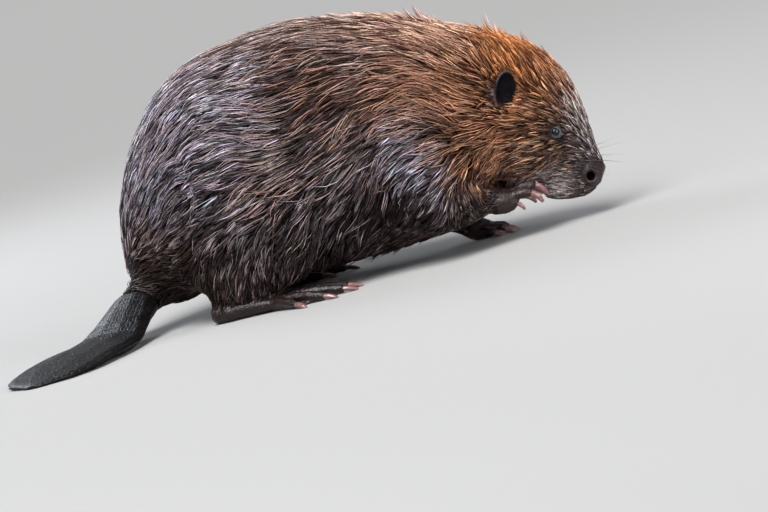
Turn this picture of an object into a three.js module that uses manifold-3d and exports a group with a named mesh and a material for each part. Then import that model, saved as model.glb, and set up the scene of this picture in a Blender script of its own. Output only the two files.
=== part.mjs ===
// A life-size North American beaver crouching on all fours. Its back is arched, its nose is held low, its right
// forepaw is lifted to the corner of the mouth and its broad tail lies on the floor, swung to its right.
// Millimetres. +X is forwards, +Y is the beaver's left, +Z is up, and the floor is z = 0.
import * as THREE from "three";
import { mergeVertices } from "three/addons/utils/BufferGeometryUtils.js";
import Module from "manifold-3d";

const wasm = await Module();
wasm.setup();

// ---------------------------------------------------------------- driving dimensions

const GAP = 0.3; // clearance between neighbouring pieces
const SINK = 1.2; // how far soles and tail are pressed into the floor before it trims them flat
const CLAW_LIFT = 0.5; // the least height of a claw over the floor
const RIGHT = -1;
const LEFT = 1;

// The spine and skull, as balls that fill the animal from side to side: place, radius in side view, and the
// half width over that radius.
const SPINE = [
  { part: "tail root", x: -262, z: 47, r: 27, wide: 1.15 },
  { part: "seat", x: -234, z: 80, r: 58, wide: 1.0 },
  { part: "rump", x: -188, z: 130, r: 93, wide: 1.0 },
  { part: "loin", x: -119, z: 163, r: 134, wide: 0.92 },
  { part: "belly", x: -42, z: 162, r: 146, wide: 0.88 },
  { part: "ribs", x: 32, z: 156, r: 137, wide: 0.84 },
  { part: "withers", x: 96, z: 146, r: 121, wide: 0.8 },
  { part: "nape", x: 145, z: 146, r: 99, wide: 0.77 },
  { part: "crown", x: 183, z: 141, r: 78, wide: 0.82 },
  { part: "brow", x: 208, z: 117, r: 58.5, wide: 0.8 },
  { part: "face", x: 222.5, z: 93, r: 46.5, wide: 0.82 },
  { part: "muzzle", x: 233, z: 69, r: 36, wide: 0.86 },
  { part: "snout", x: 238, z: 54, r: 28, wide: 0.86 },
];
const CHEEK = { x: 180, y: 36, z: 103, rx: 44, ry: 28, rz: 38 };
const LIP = { x: 243, y: 11, z: 43, rx: 21, ry: 15, rz: 17 };
const CHIN = { x: 214, z: 40, rx: 24, ry: 19, rz: 15 };
const NOSE = { x: 260, z: 50, rx: 14, ry: 15, rz: 13 };
const NOSTRIL = { x: 253, y: 22, z: 46, rx: 6, ry: 7, rz: 5 };
const EYE = { x: 224, y: 39.4, z: 106.3, r: 8.2 };
const SOCKET = { x: 228, y: 48, z: 106, rx: 12, ry: 7, rz: 9 };
const EAR = { x: 180.5, y: 71.5, z: 169, deep: 5.2, wide: 14.5, tall: 24, lean: 13, flare: 9, turn: -25 };
const SKULL_BLEND = 14;

const HAUNCH = { x: -148, y: 76, z: 104, rx: 92, ry: 54, rz: 92 };
const SHANK = [
  { x: -112, y: 96, z: 62, r: 42 },
  { x: -150, y: 100, z: 38, r: 29 },
  { x: -182, y: 97, z: 22, r: 18 },
];
const ANKLE_HEIGHT = 20;
const HIND_SOLE = [
  { x: -205, y: 96, z: 10, halfWidth: 6, halfHeight: 5 },
  { x: -200, y: 96, z: 10.5, halfWidth: 12, halfHeight: 10.5 },
  { x: -186, y: 97, z: 11.5, halfWidth: 16, halfHeight: 13 },
  { x: -164, y: 98, z: 11, halfWidth: 18, halfHeight: 12.5 },
  { x: -142, y: 100, z: 9.5, halfWidth: 23, halfHeight: 11 },
  { x: -124, y: 102, z: 8, halfWidth: 28, halfHeight: 9 },
  { x: -114, y: 103, z: 6, halfWidth: 24, halfHeight: 5 },
];
const HIND_TOES = [
  { root: [-136, 116, 9], tip: [-108, 150, 4.6], r: 5.4 },
  { root: [-128, 112, 10], tip: [-76, 139, 4.8], r: 5.8 },
  { root: [-126, 105, 10.5], tip: [-54, 118, 5], r: 6.2 },
  { root: [-126, 97, 10.5], tip: [-48, 95, 4.8], r: 6 },
  { root: [-130, 90, 9], tip: [-74, 74, 4.4], r: 5.2 },
];
const TOE_ARCH = 3;
const WEB = { thick: 2.6, reach: 0.86, back: 0.18 };

const SHOULDER = { x: 58, y: 78, z: 118, rx: 62, ry: 40, rz: 70 };
const LIFTED_ARM = [
  { x: 58, y: 84, z: 84, r: 47 },
  { x: 84, y: 79, z: 63, r: 33 },
  { x: 112, y: 68, z: 54, r: 21 },
  { x: 134, y: 59, z: 53, r: 14.5 },
];
const STANDING_ARM = [
  { x: 58, y: 84, z: 82, r: 46 },
  { x: 70, y: 78, z: 54, r: 31 },
  { x: 92, y: 66, z: 32, r: 20 },
  { x: 108, y: 58, z: 17, r: 13.5 },
];

// The forefeet, each with its palm and with the root, knuckle and tip of every finger, and the size of its claw
// beside the biggest. The lifted one holds its fingers out towards the mouth.
const LIFTED_HAND = {
  palm: { joints: [[122, 64, 54], [142, 54, 48], [157, 49, 46]], r: 15 },
  fingers: [
    { root: [149, 55, 44], knuckle: [156, 58, 43.5], tip: [161.5, 59, 41.5], r: 4.9, claw: 0.62 },
    { root: [152, 54, 49], knuckle: [171.5, 59.5, 51.3], tip: [179.5, 60, 48.8], r: 6.2, claw: 0.98 },
    { root: [155, 51, 53.5], knuckle: [178, 53, 58.5], tip: [187, 51, 55.5], r: 5.4, claw: 1 },
    { root: [154, 46, 49], knuckle: [174, 45.5, 53.5], tip: [182, 44.5, 52.5], r: 4.8, claw: 0.85 },
    { root: [150, 41, 44], knuckle: [166, 38.5, 47], tip: [174, 38, 45], r: 4.3, claw: 0.8 },
  ],
  clawSlope: 1,
};
const STANDING_HAND = {
  palm: { joints: [[98, 63, 24], [112, 57, 13.5], [126, 56, 8]], r: 14 },
  fingers: [
    { root: [115, 45, 8], knuckle: [126, 40, 9.5], tip: [133, 37, 4.4], r: 4.3, claw: 0.8 },
    { root: [120, 50, 10], knuckle: [136, 47, 11.5], tip: [146, 45, 4.8], r: 4.7, claw: 0.9 },
    { root: [122, 57, 10], knuckle: [139, 57, 12], tip: [150, 56.5, 5], r: 4.8, claw: 0.9 },
    { root: [120, 64, 10], knuckle: [135, 67, 11.5], tip: [145, 69, 4.8], r: 4.7, claw: 0.9 },
    { root: [115, 69, 8], knuckle: [124, 75, 9.5], tip: [131, 79, 4.4], r: 4.3, claw: 0.7 },
  ],
  clawSlope: 0.15,
};
const CLAW = {
  hind: { long: 14, wide: 3.9, tall: 0.66, curl: 26 },
  fore: { long: 15.5, wide: 3.7, tall: 1, curl: 46 },
};

// The tail: a muscular root that flattens into a scaled paddle.
const TAIL = {
  yaw: 49, // how far the root points to the beaver's right, in degrees
  swing: 20, // how much further the paddle swings
  length: 282,
  rootHalfWidth: 31,
  rootHalfHeight: 23,
  halfWidth: 59,
  halfHeight: 9.5,
  edge: 2.2, // half thickness at the very tip
  parting: 0.13, // where the scaly tail leaves its furred root, as a part of its length
};

// Where the pieces part. A plane has a point and the way it faces, and an egg takes its piece out of the body.
const PARTING = {
  nose: { at: [256, 0, 56], facing: [0.93, 0, -0.36] },
  jaw: { at: [158, 0, 140], facing: [0.99, 0, 0.12] },
  neck: { at: [112, 0, 150], facing: [0.98, 0, 0.05] },
  thigh: { x: -150, y: 132, z: 92, rx: 98, ry: 84, rz: 106 },
  shoulder: { x: 66, y: 118, z: 104, rx: 62, ry: 78, rz: 84 },
  forearm: { x: 108, y: 74, z: 33, long: 96, wide: 70, tall: 78 },
  tailRoot: { x: -276, y: -14, z: 38, rx: 54, ry: 54, rz: 50 },
  underThroat: { x: 147, y: -52, z: 47, rx: 21, ry: 19, rz: 19 }, // the hollow that the lifted hand lies in
};

// The box that each mass is meshed in, and the size of its facets. The legs' boxes are given for the left side.
const MESH = {
  body: { low: [-310, -150, -10], high: [330, 150, 330], facet: [32, 30, 29] },
  head: { low: [120, -100, -5], high: [300, 100, 290], facet: [17, 16, 15] },
  hindLeg: { low: [-290, 20, -20], high: [-10, 165, 250], facet: [27, 26, 26] },
  foreLeg: { low: [-20, 5, -10], high: [175, 145, 230], facet: [23, 22, 22] },
  tail: { rings: 15, sides: 10 },
};

// ---------------------------------------------------------------- fields
// A field takes x, y, z and gives a rough distance in millimetres to a surface, under zero inside it.

const mix = (a, b, t) => a + (b - a) * t;
const clamp01 = (t) => Math.min(1, Math.max(0, t));
const radians = THREE.MathUtils.degToRad;

const egg =
  ({ x: ox, y: oy = 0, z: oz, rx, ry, rz }) =>
  (x, y, z) => {
    const [a, b, c] = [(x - ox) / rx, (y - oy) / ry, (z - oz) / rz];
    const k = Math.hypot(a, b, c);
    const slope = Math.hypot(a / rx, b / ry, c / rz);
    return slope > 0 ? (k * (k - 1)) / slope : -Math.min(rx, ry, rz);
  };

// A chain of balls joined by tapers, rounded through its stations.
function chain(stations, steps = 4) {
  const curve = new THREE.CatmullRomCurve3(
    stations.map(({ x, y = 0, z }) => new THREE.Vector3(x, y, z)),
  );
  const last = stations.length - 1;
  const at = (key, t, otherwise) => {
    const i = Math.min(last - 1, Math.floor(t * last));
    const f = t * last - i;
    return mix(stations[i][key] ?? otherwise, stations[i + 1][key] ?? otherwise, f);
  };
  const balls = Array.from({ length: last * steps + 1 }, (_, i) => {
    const t = i / (last * steps);
    const { x, y, z } = curve.getPoint(t);
    return { x, y, z, r: at("r", t), wide: at("wide", t, 1) };
  });
  return (x, y, z) => {
    let nearest = Infinity;
    for (let i = 1; i < balls.length; i++) {
      const [a, b] = [balls[i - 1], balls[i]];
      const [dx, dy, dz] = [b.x - a.x, b.y - a.y, b.z - a.z];
      const across = dx * dx + dy * dy + dz * dz;
      const t = clamp01(((x - a.x) * dx + (y - a.y) * dy + (z - a.z) * dz) / across);
      const side = (y - a.y - t * dy) / mix(a.wide, b.wide, t);
      const far = Math.hypot(x - a.x - t * dx, side, z - a.z - t * dz);
      nearest = Math.min(nearest, far - mix(a.r, b.r, t));
    }
    return nearest;
  };
}

// Masses that flow into each other over about k millimetres.
const melt =
  (k, ...fields) =>
  (x, y, z) =>
    fields.reduce((sum, field) => {
      const d = field(x, y, z);
      const h = Math.max(k - Math.abs(sum - d), 0) / k;
      return Math.min(sum, d) - (h * h * k) / 4;
    }, Infinity);

const without = (k, field, hollow) => {
  const filled = melt(k, (x, y, z) => -field(x, y, z), hollow);
  return (x, y, z) => -filled(x, y, z);
};

const onSide = (side, { y, ...rest }) => ({ ...rest, y: side * y });
const bothSides = (shape) => [onSide(LEFT, shape), onSide(RIGHT, shape)].map(egg);

// ---------------------------------------------------------------- solids

// A three.js geometry as a manifold solid.
function solid(geometry) {
  const bare = new THREE.BufferGeometry()
    .setAttribute("position", geometry.getAttribute("position"))
    .setIndex(geometry.index);
  const { attributes, index } = mergeVertices(bare, 1e-4);
  const vertProperties = attributes.position.array;
  const triVerts = new Uint32Array(index.array);
  return new wasm.Manifold(new wasm.Mesh({ numProp: 3, vertProperties, triVerts }));
}

// The surface of a field inside a box, as a closed solid: one corner in each grid cell that the surface
// crosses, drawn onto the surface, and one four-sided face across each grid edge that it crosses.
function wrap(field, { low, high, facet: cell }) {
  const count = low.map((v, a) => Math.ceil((high[a] - v) / cell[a]) + 1);
  const place = (a, i) => low[a] + i * cell[a];
  const id = (i, j, k) => (k * count[1] + j) * count[0] + i;
  const value = new Float32Array(count[0] * count[1] * count[2]);
  const rim = (i, a) => i === 0 || i === count[a] - 1;
  for (let k = 0; k < count[2]; k++)
    for (let j = 0; j < count[1]; j++)
      for (let i = 0; i < count[0]; i++) {
        const d = field(place(0, i), place(1, j), place(2, k));
        value[id(i, j, k)] = rim(i, 0) || rim(j, 1) || rim(k, 2) ? Math.max(d, 1) : d;
      }

  const slopeStep = 0.2;
  const slope = (p) =>
    p.map((_, a) => {
      const [q, r] = [[...p], [...p]];
      q[a] += slopeStep;
      r[a] -= slopeStep;
      return (field(...q) - field(...r)) / (2 * slopeStep);
    });
  const settle = (start, corner) => {
    let p = start;
    for (let pass = 0; pass < 3; pass++) {
      const g = slope(p);
      const step = field(...p) / Math.max(0.2, g[0] ** 2 + g[1] ** 2 + g[2] ** 2);
      p = p.map((v, a) => {
        const edge = place(a, corner[a]);
        return Math.min(edge + cell[a] * 0.97, Math.max(edge + cell[a] * 0.03, v - step * g[a]));
      });
    }
    return p;
  };

  const corners = [0, 1, 2, 3, 4, 5, 6, 7].map((n) => [n & 1, (n >> 1) & 1, (n >> 2) & 1]);
  const pairs = corners.flatMap((c, n) =>
    [1, 2, 4].filter((bit) => !(n & bit)).map((bit) => [c, corners[n | bit]]),
  );
  const points = [];
  const pointOf = new Map();
  for (let k = 0; k + 1 < count[2]; k++)
    for (let j = 0; j + 1 < count[1]; j++)
      for (let i = 0; i + 1 < count[0]; i++) {
        const sum = [0, 0, 0];
        let crossings = 0;
        for (const [c, d] of pairs) {
          const a = value[id(i + c[0], j + c[1], k + c[2])];
          const b = value[id(i + d[0], j + d[1], k + d[2])];
          if (a < 0 === b < 0) continue;
          const t = a / (a - b);
          [i, j, k].forEach((n, axis) => (sum[axis] += place(axis, n + mix(c[axis], d[axis], t))));
          crossings++;
        }
        if (!crossings) continue;
        pointOf.set(id(i, j, k), points.length);
        points.push(settle(sum.map((v) => v / crossings), [i, j, k]));
      }

  const index = [];
  const apart = (p, q) => Math.hypot(...points[p].map((v, a) => v - points[q][a]));
  for (let k = 0; k + 1 < count[2]; k++)
    for (let j = 0; j + 1 < count[1]; j++)
      for (let i = 0; i + 1 < count[0]; i++)
        for (let axis = 0; axis < 3; axis++) {
          const next = [i, j, k];
          const [u, v] = [(axis + 1) % 3, (axis + 2) % 3];
          if (next[u] === 0 || next[v] === 0) continue;
          next[axis]++;
          const here = value[id(i, j, k)] < 0;
          if (here === value[id(...next)] < 0) continue;
          const ring = [[0, 0], [-1, 0], [-1, -1], [0, -1]].map(([du, dv]) => {
            const at = [i, j, k];
            at[u] += du;
            at[v] += dv;
            return pointOf.get(id(...at));
          });
          const [a, b, c, d] = here ? ring : ring.reverse();
          if (apart(a, c) < apart(b, d)) index.push(a, b, c, a, c, d);
          else index.push(a, b, d, b, c, d);
        }
  const geometry = new THREE.BufferGeometry();
  geometry.setAttribute("position", new THREE.Float32BufferAttribute(points.flat(), 3));
  geometry.setIndex(index);
  return solid(geometry);
}

// A closed skin over rings that each have a centre, two half axes and the two directions they lie along.
function loft(rings, sides) {
  const points = [];
  const index = [];
  for (const { centre, side, up, halfWidth, halfHeight } of rings)
    for (let s = 0; s < sides; s++) {
      const angle = (2 * Math.PI * s) / sides;
      const p = centre
        .clone()
        .addScaledVector(side, halfWidth * Math.cos(angle))
        .addScaledVector(up, halfHeight * Math.sin(angle));
      points.push(...p.toArray());
    }
  const first = points.length / 3;
  points.push(...rings[0].centre.toArray(), ...rings.at(-1).centre.toArray());
  const end = (rings.length - 1) * sides;
  for (let s = 0; s < sides; s++) {
    const t = (s + 1) % sides;
    index.push(first, t, s, first + 1, end + s, end + t);
    for (let r = 0; r < end; r += sides) {
      const [a, b, c, d] = [r + s, r + t, r + sides + t, r + sides + s];
      index.push(a, b, c, a, c, d);
    }
  }
  const geometry = new THREE.BufferGeometry();
  geometry.setAttribute("position", new THREE.Float32BufferAttribute(points, 3));
  geometry.setIndex(index);
  return solid(geometry);
}

// Everything on the side of a plane that its normal points to, pushed outwards by a margin.
function halfSpace(point, normal, margin = 0) {
  const size = 2000;
  const box = new THREE.BoxGeometry(size, size, size).translate(0, 0, size / 2 - margin);
  const turn = new THREE.Quaternion().setFromUnitVectors(
    new THREE.Vector3(0, 0, 1),
    new THREE.Vector3(...normal).normalize(),
  );
  return solid(box.applyQuaternion(turn).translate(...point));
}

const ball = ({ x, y = 0, z, rx, ry, rz }, margin = 0, columns = 12, rows = 8) =>
  solid(
    new THREE.SphereGeometry(1, columns, rows)
      .scale(rx + margin, ry + margin, rz + margin)
      .translate(x, y, z),
  );

const floorTrim = halfSpace([0, 0, 0], [0, 0, 1]);
const clawTrim = halfSpace([0, 0, CLAW_LIFT], [0, 0, 1]);

// ---------------------------------------------------------------- the body's fields

const spine = chain(SPINE);
const torso = melt(30, spine, ...bothSides(HAUNCH), ...bothSides(SHOULDER));
const lips = melt(5, ...bothSides(LIP), egg(CHIN), egg(NOSE));
const hollows = melt(1, ...bothSides(NOSTRIL), ...bothSides(SOCKET));
const skull = without(4, melt(SKULL_BLEND, spine, ...bothSides(CHEEK), lips), hollows);

// ---------------------------------------------------------------- toes, fingers and claws

const Z = new THREE.Vector3(0, 0, 1);
const DOWN = new THREE.Vector3(0, 0, -1);
const placed = (side, [x, y, z]) => new THREE.Vector3(x, side * y, z);

// A toe or finger through its joints, round at both ends.
function digit(joints, r, sides = 6) {
  const curve = new THREE.CatmullRomCurve3(joints);
  const rings = [
    [0, 0.95],
    [0.35, 1.03],
    [0.7, 1.02],
    [1, 0.85],
  ].map(([t, thick]) => {
    const centre = curve.getPoint(t);
    const along = curve.getTangent(t);
    const side = new THREE.Vector3().crossVectors(Z, along).normalize();
    return { centre, side, up: new THREE.Vector3().crossVectors(along, side), along, half: r * thick };
  });
  const end = rings.at(-1);
  rings.push({ ...end, centre: end.centre.clone().addScaledVector(end.along, r * 0.45), half: r * 0.45 });
  return loft(rings.map(({ half, ...ring }) => ({ ...ring, halfWidth: half, halfHeight: half })), sides);
}

// A curved claw that leaves a toe along one direction and bends down.
function claw(from, along, { long, wide, tall, curl }, margin = 0) {
  const rings = 4;
  const root = 3;
  const across = new THREE.Vector3().crossVectors(DOWN, along).normalize();
  const centre = from.clone().addScaledVector(along, -root - margin);
  const heading = (turn) => along.clone().applyAxisAngle(across, -radians(turn));
  const step = (long + root) / (rings - 1);
  return loft(
    Array.from({ length: rings }, (_, i) => {
      const t = i / (rings - 1);
      const direction = heading(curl * t);
      if (i > 0) centre.addScaledVector(direction, step);
      const half = wide * (1 - 0.56 * t ** 2.6) + margin;
      const up = new THREE.Vector3().crossVectors(direction, across);
      return { centre: centre.clone(), side: across, up, halfWidth: half, halfHeight: half * tall };
    }),
    6,
  );
}

// A hind foot: its sole, five spread toes, the web between them, and the claws, which are made apart.
function hindFoot(side) {
  const sole = loft(
    HIND_SOLE.map(({ x, y, z, ...half }) => {
      const centre = placed(side, [x, y, z]);
      return { centre, side: new THREE.Vector3(0, 1, 0), up: Z, ...half };
    }),
    12,
  );
  const toes = HIND_TOES.map(({ root, tip, r }) => {
    const [from, to] = [placed(side, root), placed(side, tip)];
    return { from, tip: to, r, knuckle: from.clone().lerp(to, 0.5).add(new THREE.Vector3(0, 0, TOE_ARCH)) };
  });

  const edge = toes.map(({ from, tip }) => from.clone().lerp(tip, WEB.reach));
  const outline = new THREE.Shape().moveTo(toes[0].from.x, toes[0].from.y);
  outline.lineTo(edge[0].x, edge[0].y);
  for (let i = 1; i < edge.length; i++) {
    const hollow = edge[i - 1].clone().lerp(edge[i], 0.5).lerp(toes[2].from, WEB.back);
    outline.quadraticCurveTo(hollow.x, hollow.y, edge[i].x, edge[i].y);
  }
  outline.lineTo(toes.at(-1).from.x, toes.at(-1).from.y);
  const web = new THREE.ExtrudeGeometry(outline, { depth: WEB.thick, bevelEnabled: false, curveSegments: 3 });

  const claws = toes.map(({ knuckle, tip, r }) => {
    const along = tip.clone().sub(knuckle).setZ(0).normalize();
    const from = tip.clone().addScaledVector(along, r * 0.6);
    return (margin) => claw(from, along, CLAW.hind, margin);
  });
  const digits = toes.map(({ from, knuckle, tip, r }) => digit([from, knuckle, tip], r));
  return { foot: digits.reduce((sum, toe) => sum.add(toe), sole.add(solid(web))), claws };
}

// A forefoot: its palm and fingers, and the claws, which are made apart.
function foreFoot(side, { palm, fingers, clawSlope }) {
  const joints = fingers.map(({ root, knuckle, tip }) => [root, knuckle, tip].map((at) => placed(side, at)));
  const hand = digit(palm.joints.map((at) => placed(side, at)), palm.r, 10);
  const digits = fingers.map(({ r }, i) => digit(joints[i], r));
  const claws = joints.map(([, knuckle, tip], i) => {
    const along = tip.clone().sub(knuckle).multiply(new THREE.Vector3(1, 1, clawSlope)).normalize();
    const from = tip.clone().addScaledVector(along, 2);
    const size = { long: CLAW.fore.long * fingers[i].claw, wide: CLAW.fore.wide * fingers[i].claw };
    return (margin) => claw(from, along, { ...CLAW.fore, ...size }, margin);
  });
  return { foot: digits.reduce((sum, finger) => sum.add(finger), hand), claws };
}

// ---------------------------------------------------------------- the tail

const smooth = (t) => clamp01(t) ** 2 * (3 - 2 * clamp01(t));
const tailHalfWidth = (t) => {
  const { rootHalfWidth, halfWidth } = TAIL;
  const round = Math.sqrt(Math.max(0, 1 - clamp01((t - 0.74) / 0.26) ** 2));
  return mix(rootHalfWidth, halfWidth, smooth((t - 0.1) / 0.45)) * round;
};
const tailHalfHeight = (t) => {
  const { rootHalfHeight, halfHeight, edge } = TAIL;
  return mix(mix(rootHalfHeight, halfHeight, smooth((t + 0.05) / 0.5)), edge, clamp01((t - 0.5) / 0.5) ** 2);
};

// The tail's centre line: down from its root to the floor, swinging to the right all the way.
function tailLine(t) {
  const { yaw, swing, length } = TAIL;
  const steps = 24;
  const root = SPINE[0];
  const p = new THREE.Vector3(root.x, 0, 0);
  for (let i = 0; i < steps; i++) {
    const turn = radians(yaw + (swing * (i + 0.5) * t) / steps);
    p.x -= (Math.cos(turn) * length * t) / steps;
    p.y -= (Math.sin(turn) * length * t) / steps;
  }
  return p.setZ(mix(root.z, tailHalfHeight(t) - SINK, smooth(t / 0.4)));
}

function tailSolid(rings, sides) {
  const ahead = 1e-3;
  return loft(
    Array.from({ length: rings }, (_, i) => {
      const t = (i / (rings - 1)) * 0.998;
      const centre = tailLine(t);
      const along = tailLine(t + ahead).sub(tailLine(t - ahead)).normalize();
      const side = new THREE.Vector3(0, 0, 1).cross(along).normalize();
      const up = new THREE.Vector3().crossVectors(along, side);
      return { centre, side, up, halfWidth: tailHalfWidth(t), halfHeight: tailHalfHeight(t) };
    }),
    sides,
  );
}

// A plane across the tail at t, facing its tip.
function acrossTail(t, margin) {
  const along = tailLine(t + 0.01).sub(tailLine(t));
  return halfSpace(tailLine(t).toArray(), along.toArray(), margin);
}

// ---------------------------------------------------------------- assembly

const colours = {
  coat_dark: { color: 0x2e211c, roughness: 0.7 },
  coat_red: { color: 0x6d3c20, roughness: 0.75 },
  skin_dark: { color: 0x2a211f, roughness: 0.45 },
  skin_tail: { color: 0x1d1c1e, roughness: 0.4 },
  claw_horn: { color: 0x8a6459, roughness: 0.35 },
  eye: { color: 0x0b0e12, roughness: 0.05 },
};
const materials = Object.fromEntries(
  Object.entries(colours).map(([name, look]) => [
    name,
    new THREE.MeshStandardMaterial({ name, metalness: 0, ...look }),
  ]),
);

const beaver = new THREE.Group();
beaver.name = "beaver";

function add(name, made, material) {
  const { numProp, vertProperties, triVerts } = made.getMesh();
  const geometry = new THREE.BufferGeometry();
  const positions = new Float32Array((vertProperties.length / numProp) * 3);
  for (let v = 0; v < positions.length / 3; v++)
    positions.set(vertProperties.subarray(v * numProp, v * numProp + 3), v * 3);
  geometry.setAttribute("position", new THREE.BufferAttribute(positions, 3));
  geometry.setIndex(new THREE.BufferAttribute(triVerts, 1));
  geometry.computeVertexNormals();
  const mesh = new THREE.Mesh(geometry, materials[material]);
  mesh.name = name;
  beaver.add(mesh);
}

const sides = [
  { side: RIGHT, word: "right" },
  { side: LEFT, word: "left" },
];

const plane = ({ at, facing }) => (margin) => halfSpace(at, facing, margin);
const ankle = (margin) => halfSpace([0, 0, ANKLE_HEIGHT], [0, 0, -1], margin);

// A thigh is cut from the trunk by an egg, and a foreleg by an egg and a box round the forearm.
const thighCut = (side) => (margin) => ball(onSide(side, PARTING.thigh), margin, 14, 8);
const shoulderCut = (side) => (margin) => {
  const { x, y, z, long, wide, tall } = PARTING.forearm;
  const box = new THREE.BoxGeometry(long + 2 * margin, wide + 2 * margin, tall + 2 * margin);
  return ball(onSide(side, PARTING.shoulder), margin, 14, 8).add(solid(box.translate(x, side * y, z)));
};

// A mesh box given for the left side, on either side.
function sideBox(side, { low, high, facet }) {
  const [near, far] = [side * low[1], side * high[1]];
  return {
    low: [low[0], Math.min(near, far), low[2]],
    high: [high[0], Math.max(near, far), high[2]],
    facet,
  };
}

const wholeBody = wrap(torso, MESH.body);
const tail = tailSolid(MESH.tail.rings, MESH.tail.sides);
const body = wholeBody.add(tail.subtract(acrossTail(TAIL.parting, GAP))).intersect(floorTrim);
const cutAway = [];

// Adds the part of a shape inside a region, and keeps the region so that the pieces behind it can be cut clear.
function carve(name, shape, region, material) {
  add(name, cutAway.reduce((left, cut) => left.subtract(cut), shape.intersect(region(0))), material);
  cutAway.push(region(GAP));
}

// The narrow end of a foreleg between its last two stations and a little beyond, as a tapering tube.
function sleeve(stations) {
  const [elbow, wrist] = stations.slice(-2);
  const [from, to] = [elbow, wrist].map(({ x, y, z }) => new THREE.Vector3(x, y, z));
  const along = to.clone().sub(from).normalize();
  const side = new THREE.Vector3().crossVectors(Z, along).normalize();
  const up = new THREE.Vector3().crossVectors(along, side);
  const rings = [
    { centre: from, half: elbow.r * 0.92 },
    { centre: to, half: wrist.r + 0.6 },
    { centre: to.clone().addScaledVector(along, 4), half: wrist.r },
  ];
  return loft(rings.map(({ centre, half }) => ({ centre, side, up, halfWidth: half, halfHeight: half })), 10);
}

// Adds a foot and its claws, each in its own socket.
function addFoot(name, foot, claws, kind) {
  claws.forEach((make, i) => add(`claw_${kind}_${i + 1}`, make(0).intersect(clawTrim), "claw_horn"));
  add(name, claws.reduce((left, make) => left.subtract(make(GAP)), foot), "skin_dark");
}

for (const { side, word } of sides) {
  const shank = chain(SHANK.map((station) => onSide(side, station)));
  const leg = wrap(melt(24, torso, shank), sideBox(side, MESH.hindLeg));
  const thigh = thighCut(side);
  const { foot, claws } = hindFoot(side);
  addFoot(`hind_foot_${word}`, foot.intersect(ankle(0)).intersect(floorTrim), claws, `hind_${word}`);
  add(`hind_leg_${word}`, leg.intersect(thigh(0)).subtract(ankle(GAP)), "coat_dark");
  cutAway.push(thigh(GAP));
}

for (const { side, word } of sides) {
  const lifted = side === RIGHT;
  const stations = (lifted ? LIFTED_ARM : STANDING_ARM).map((station) => onSide(side, station));
  const [before, wrist] = stations.slice(-2).map(({ x, y, z }) => new THREE.Vector3(x, y, z));
  const cuff = (margin) => halfSpace(wrist.toArray(), wrist.clone().sub(before).toArray(), margin);
  const { foot, claws } = foreFoot(side, lifted ? LIFTED_HAND : STANDING_HAND);
  addFoot(`front_foot_${word}`, foot.intersect(cuff(0)).intersect(floorTrim), claws, `front_${word}`);

  const leg = wrap(melt(20, torso, chain(stations)), sideBox(side, MESH.foreLeg)).add(sleeve(stations));
  const shoulder = shoulderCut(side);
  add(`front_leg_${word}`, leg.intersect(shoulder(0)).subtract(cuff(GAP)).intersect(floorTrim), "coat_dark");
  cutAway.push(shoulder(GAP));
}

cutAway.push(ball(PARTING.underThroat));

// The eyes and ears are whole eggs, set in sockets.
const headSockets = sides.flatMap(({ side, word }) => {
  const eye = (margin) => ball({ ...onSide(side, EYE), rx: EYE.r, ry: EYE.r, rz: EYE.r }, margin, 10, 7);
  const ear = (margin) => {
    const { x, y, z, deep, wide, tall, lean, flare, turn } = EAR;
    const flap = new THREE.SphereGeometry(1, 12, 7).scale(wide + margin, deep + margin, tall + margin);
    const pose = new THREE.Euler(radians(-side * flare), radians(lean), radians(side * turn), "ZYX");
    return solid(flap.applyMatrix4(new THREE.Matrix4().makeRotationFromEuler(pose)).translate(x, side * y, z));
  };
  add(`eye_${word}`, eye(0), "eye");
  add(`ear_${word}`, ear(0), "skin_dark");
  return [eye(GAP), ear(GAP)];
});

const headShape = wrap(skull, MESH.head);
carve("nose", headShape, plane(PARTING.nose), "skin_dark");
const socketed = headSockets.reduce((left, cut) => left.subtract(cut), headShape);
carve("head", socketed, plane(PARTING.jaw), "coat_red");
carve("neck", body, plane(PARTING.neck), "coat_red");
add("tail", tail.intersect(acrossTail(TAIL.parting, 0)).intersect(floorTrim), "skin_tail");
carve("tail_root", body, (margin) => ball(PARTING.tailRoot, margin), "coat_dark");
add("trunk", cutAway.reduce((left, cut) => left.subtract(cut), body.subtract(ankle(GAP))), "coat_dark");

// The origin is on the floor, under the middle of the whole animal.
const middle = new THREE.Box3().setFromObject(beaver).getCenter(new THREE.Vector3());
beaver.position.set(-middle.x, -middle.y, 0);

export default beaver;
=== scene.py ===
"""A life-size beaver, crouched with its right forepaw raised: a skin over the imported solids, a coat of solid
locks, eyes, lids, claws and whiskers.

Places and sizes are in the animal's own millimetres, where a line says nothing else: +X forwards, +Y its
left, +Z up, and the floor at z = 0. row() turns them into the frame's metres. Paired places give y outwards.
"""

import math

import bpy
import numpy as np
from mathutils import Matrix, Vector, kdtree
from mathutils.bvhtree import BVHTree


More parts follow.
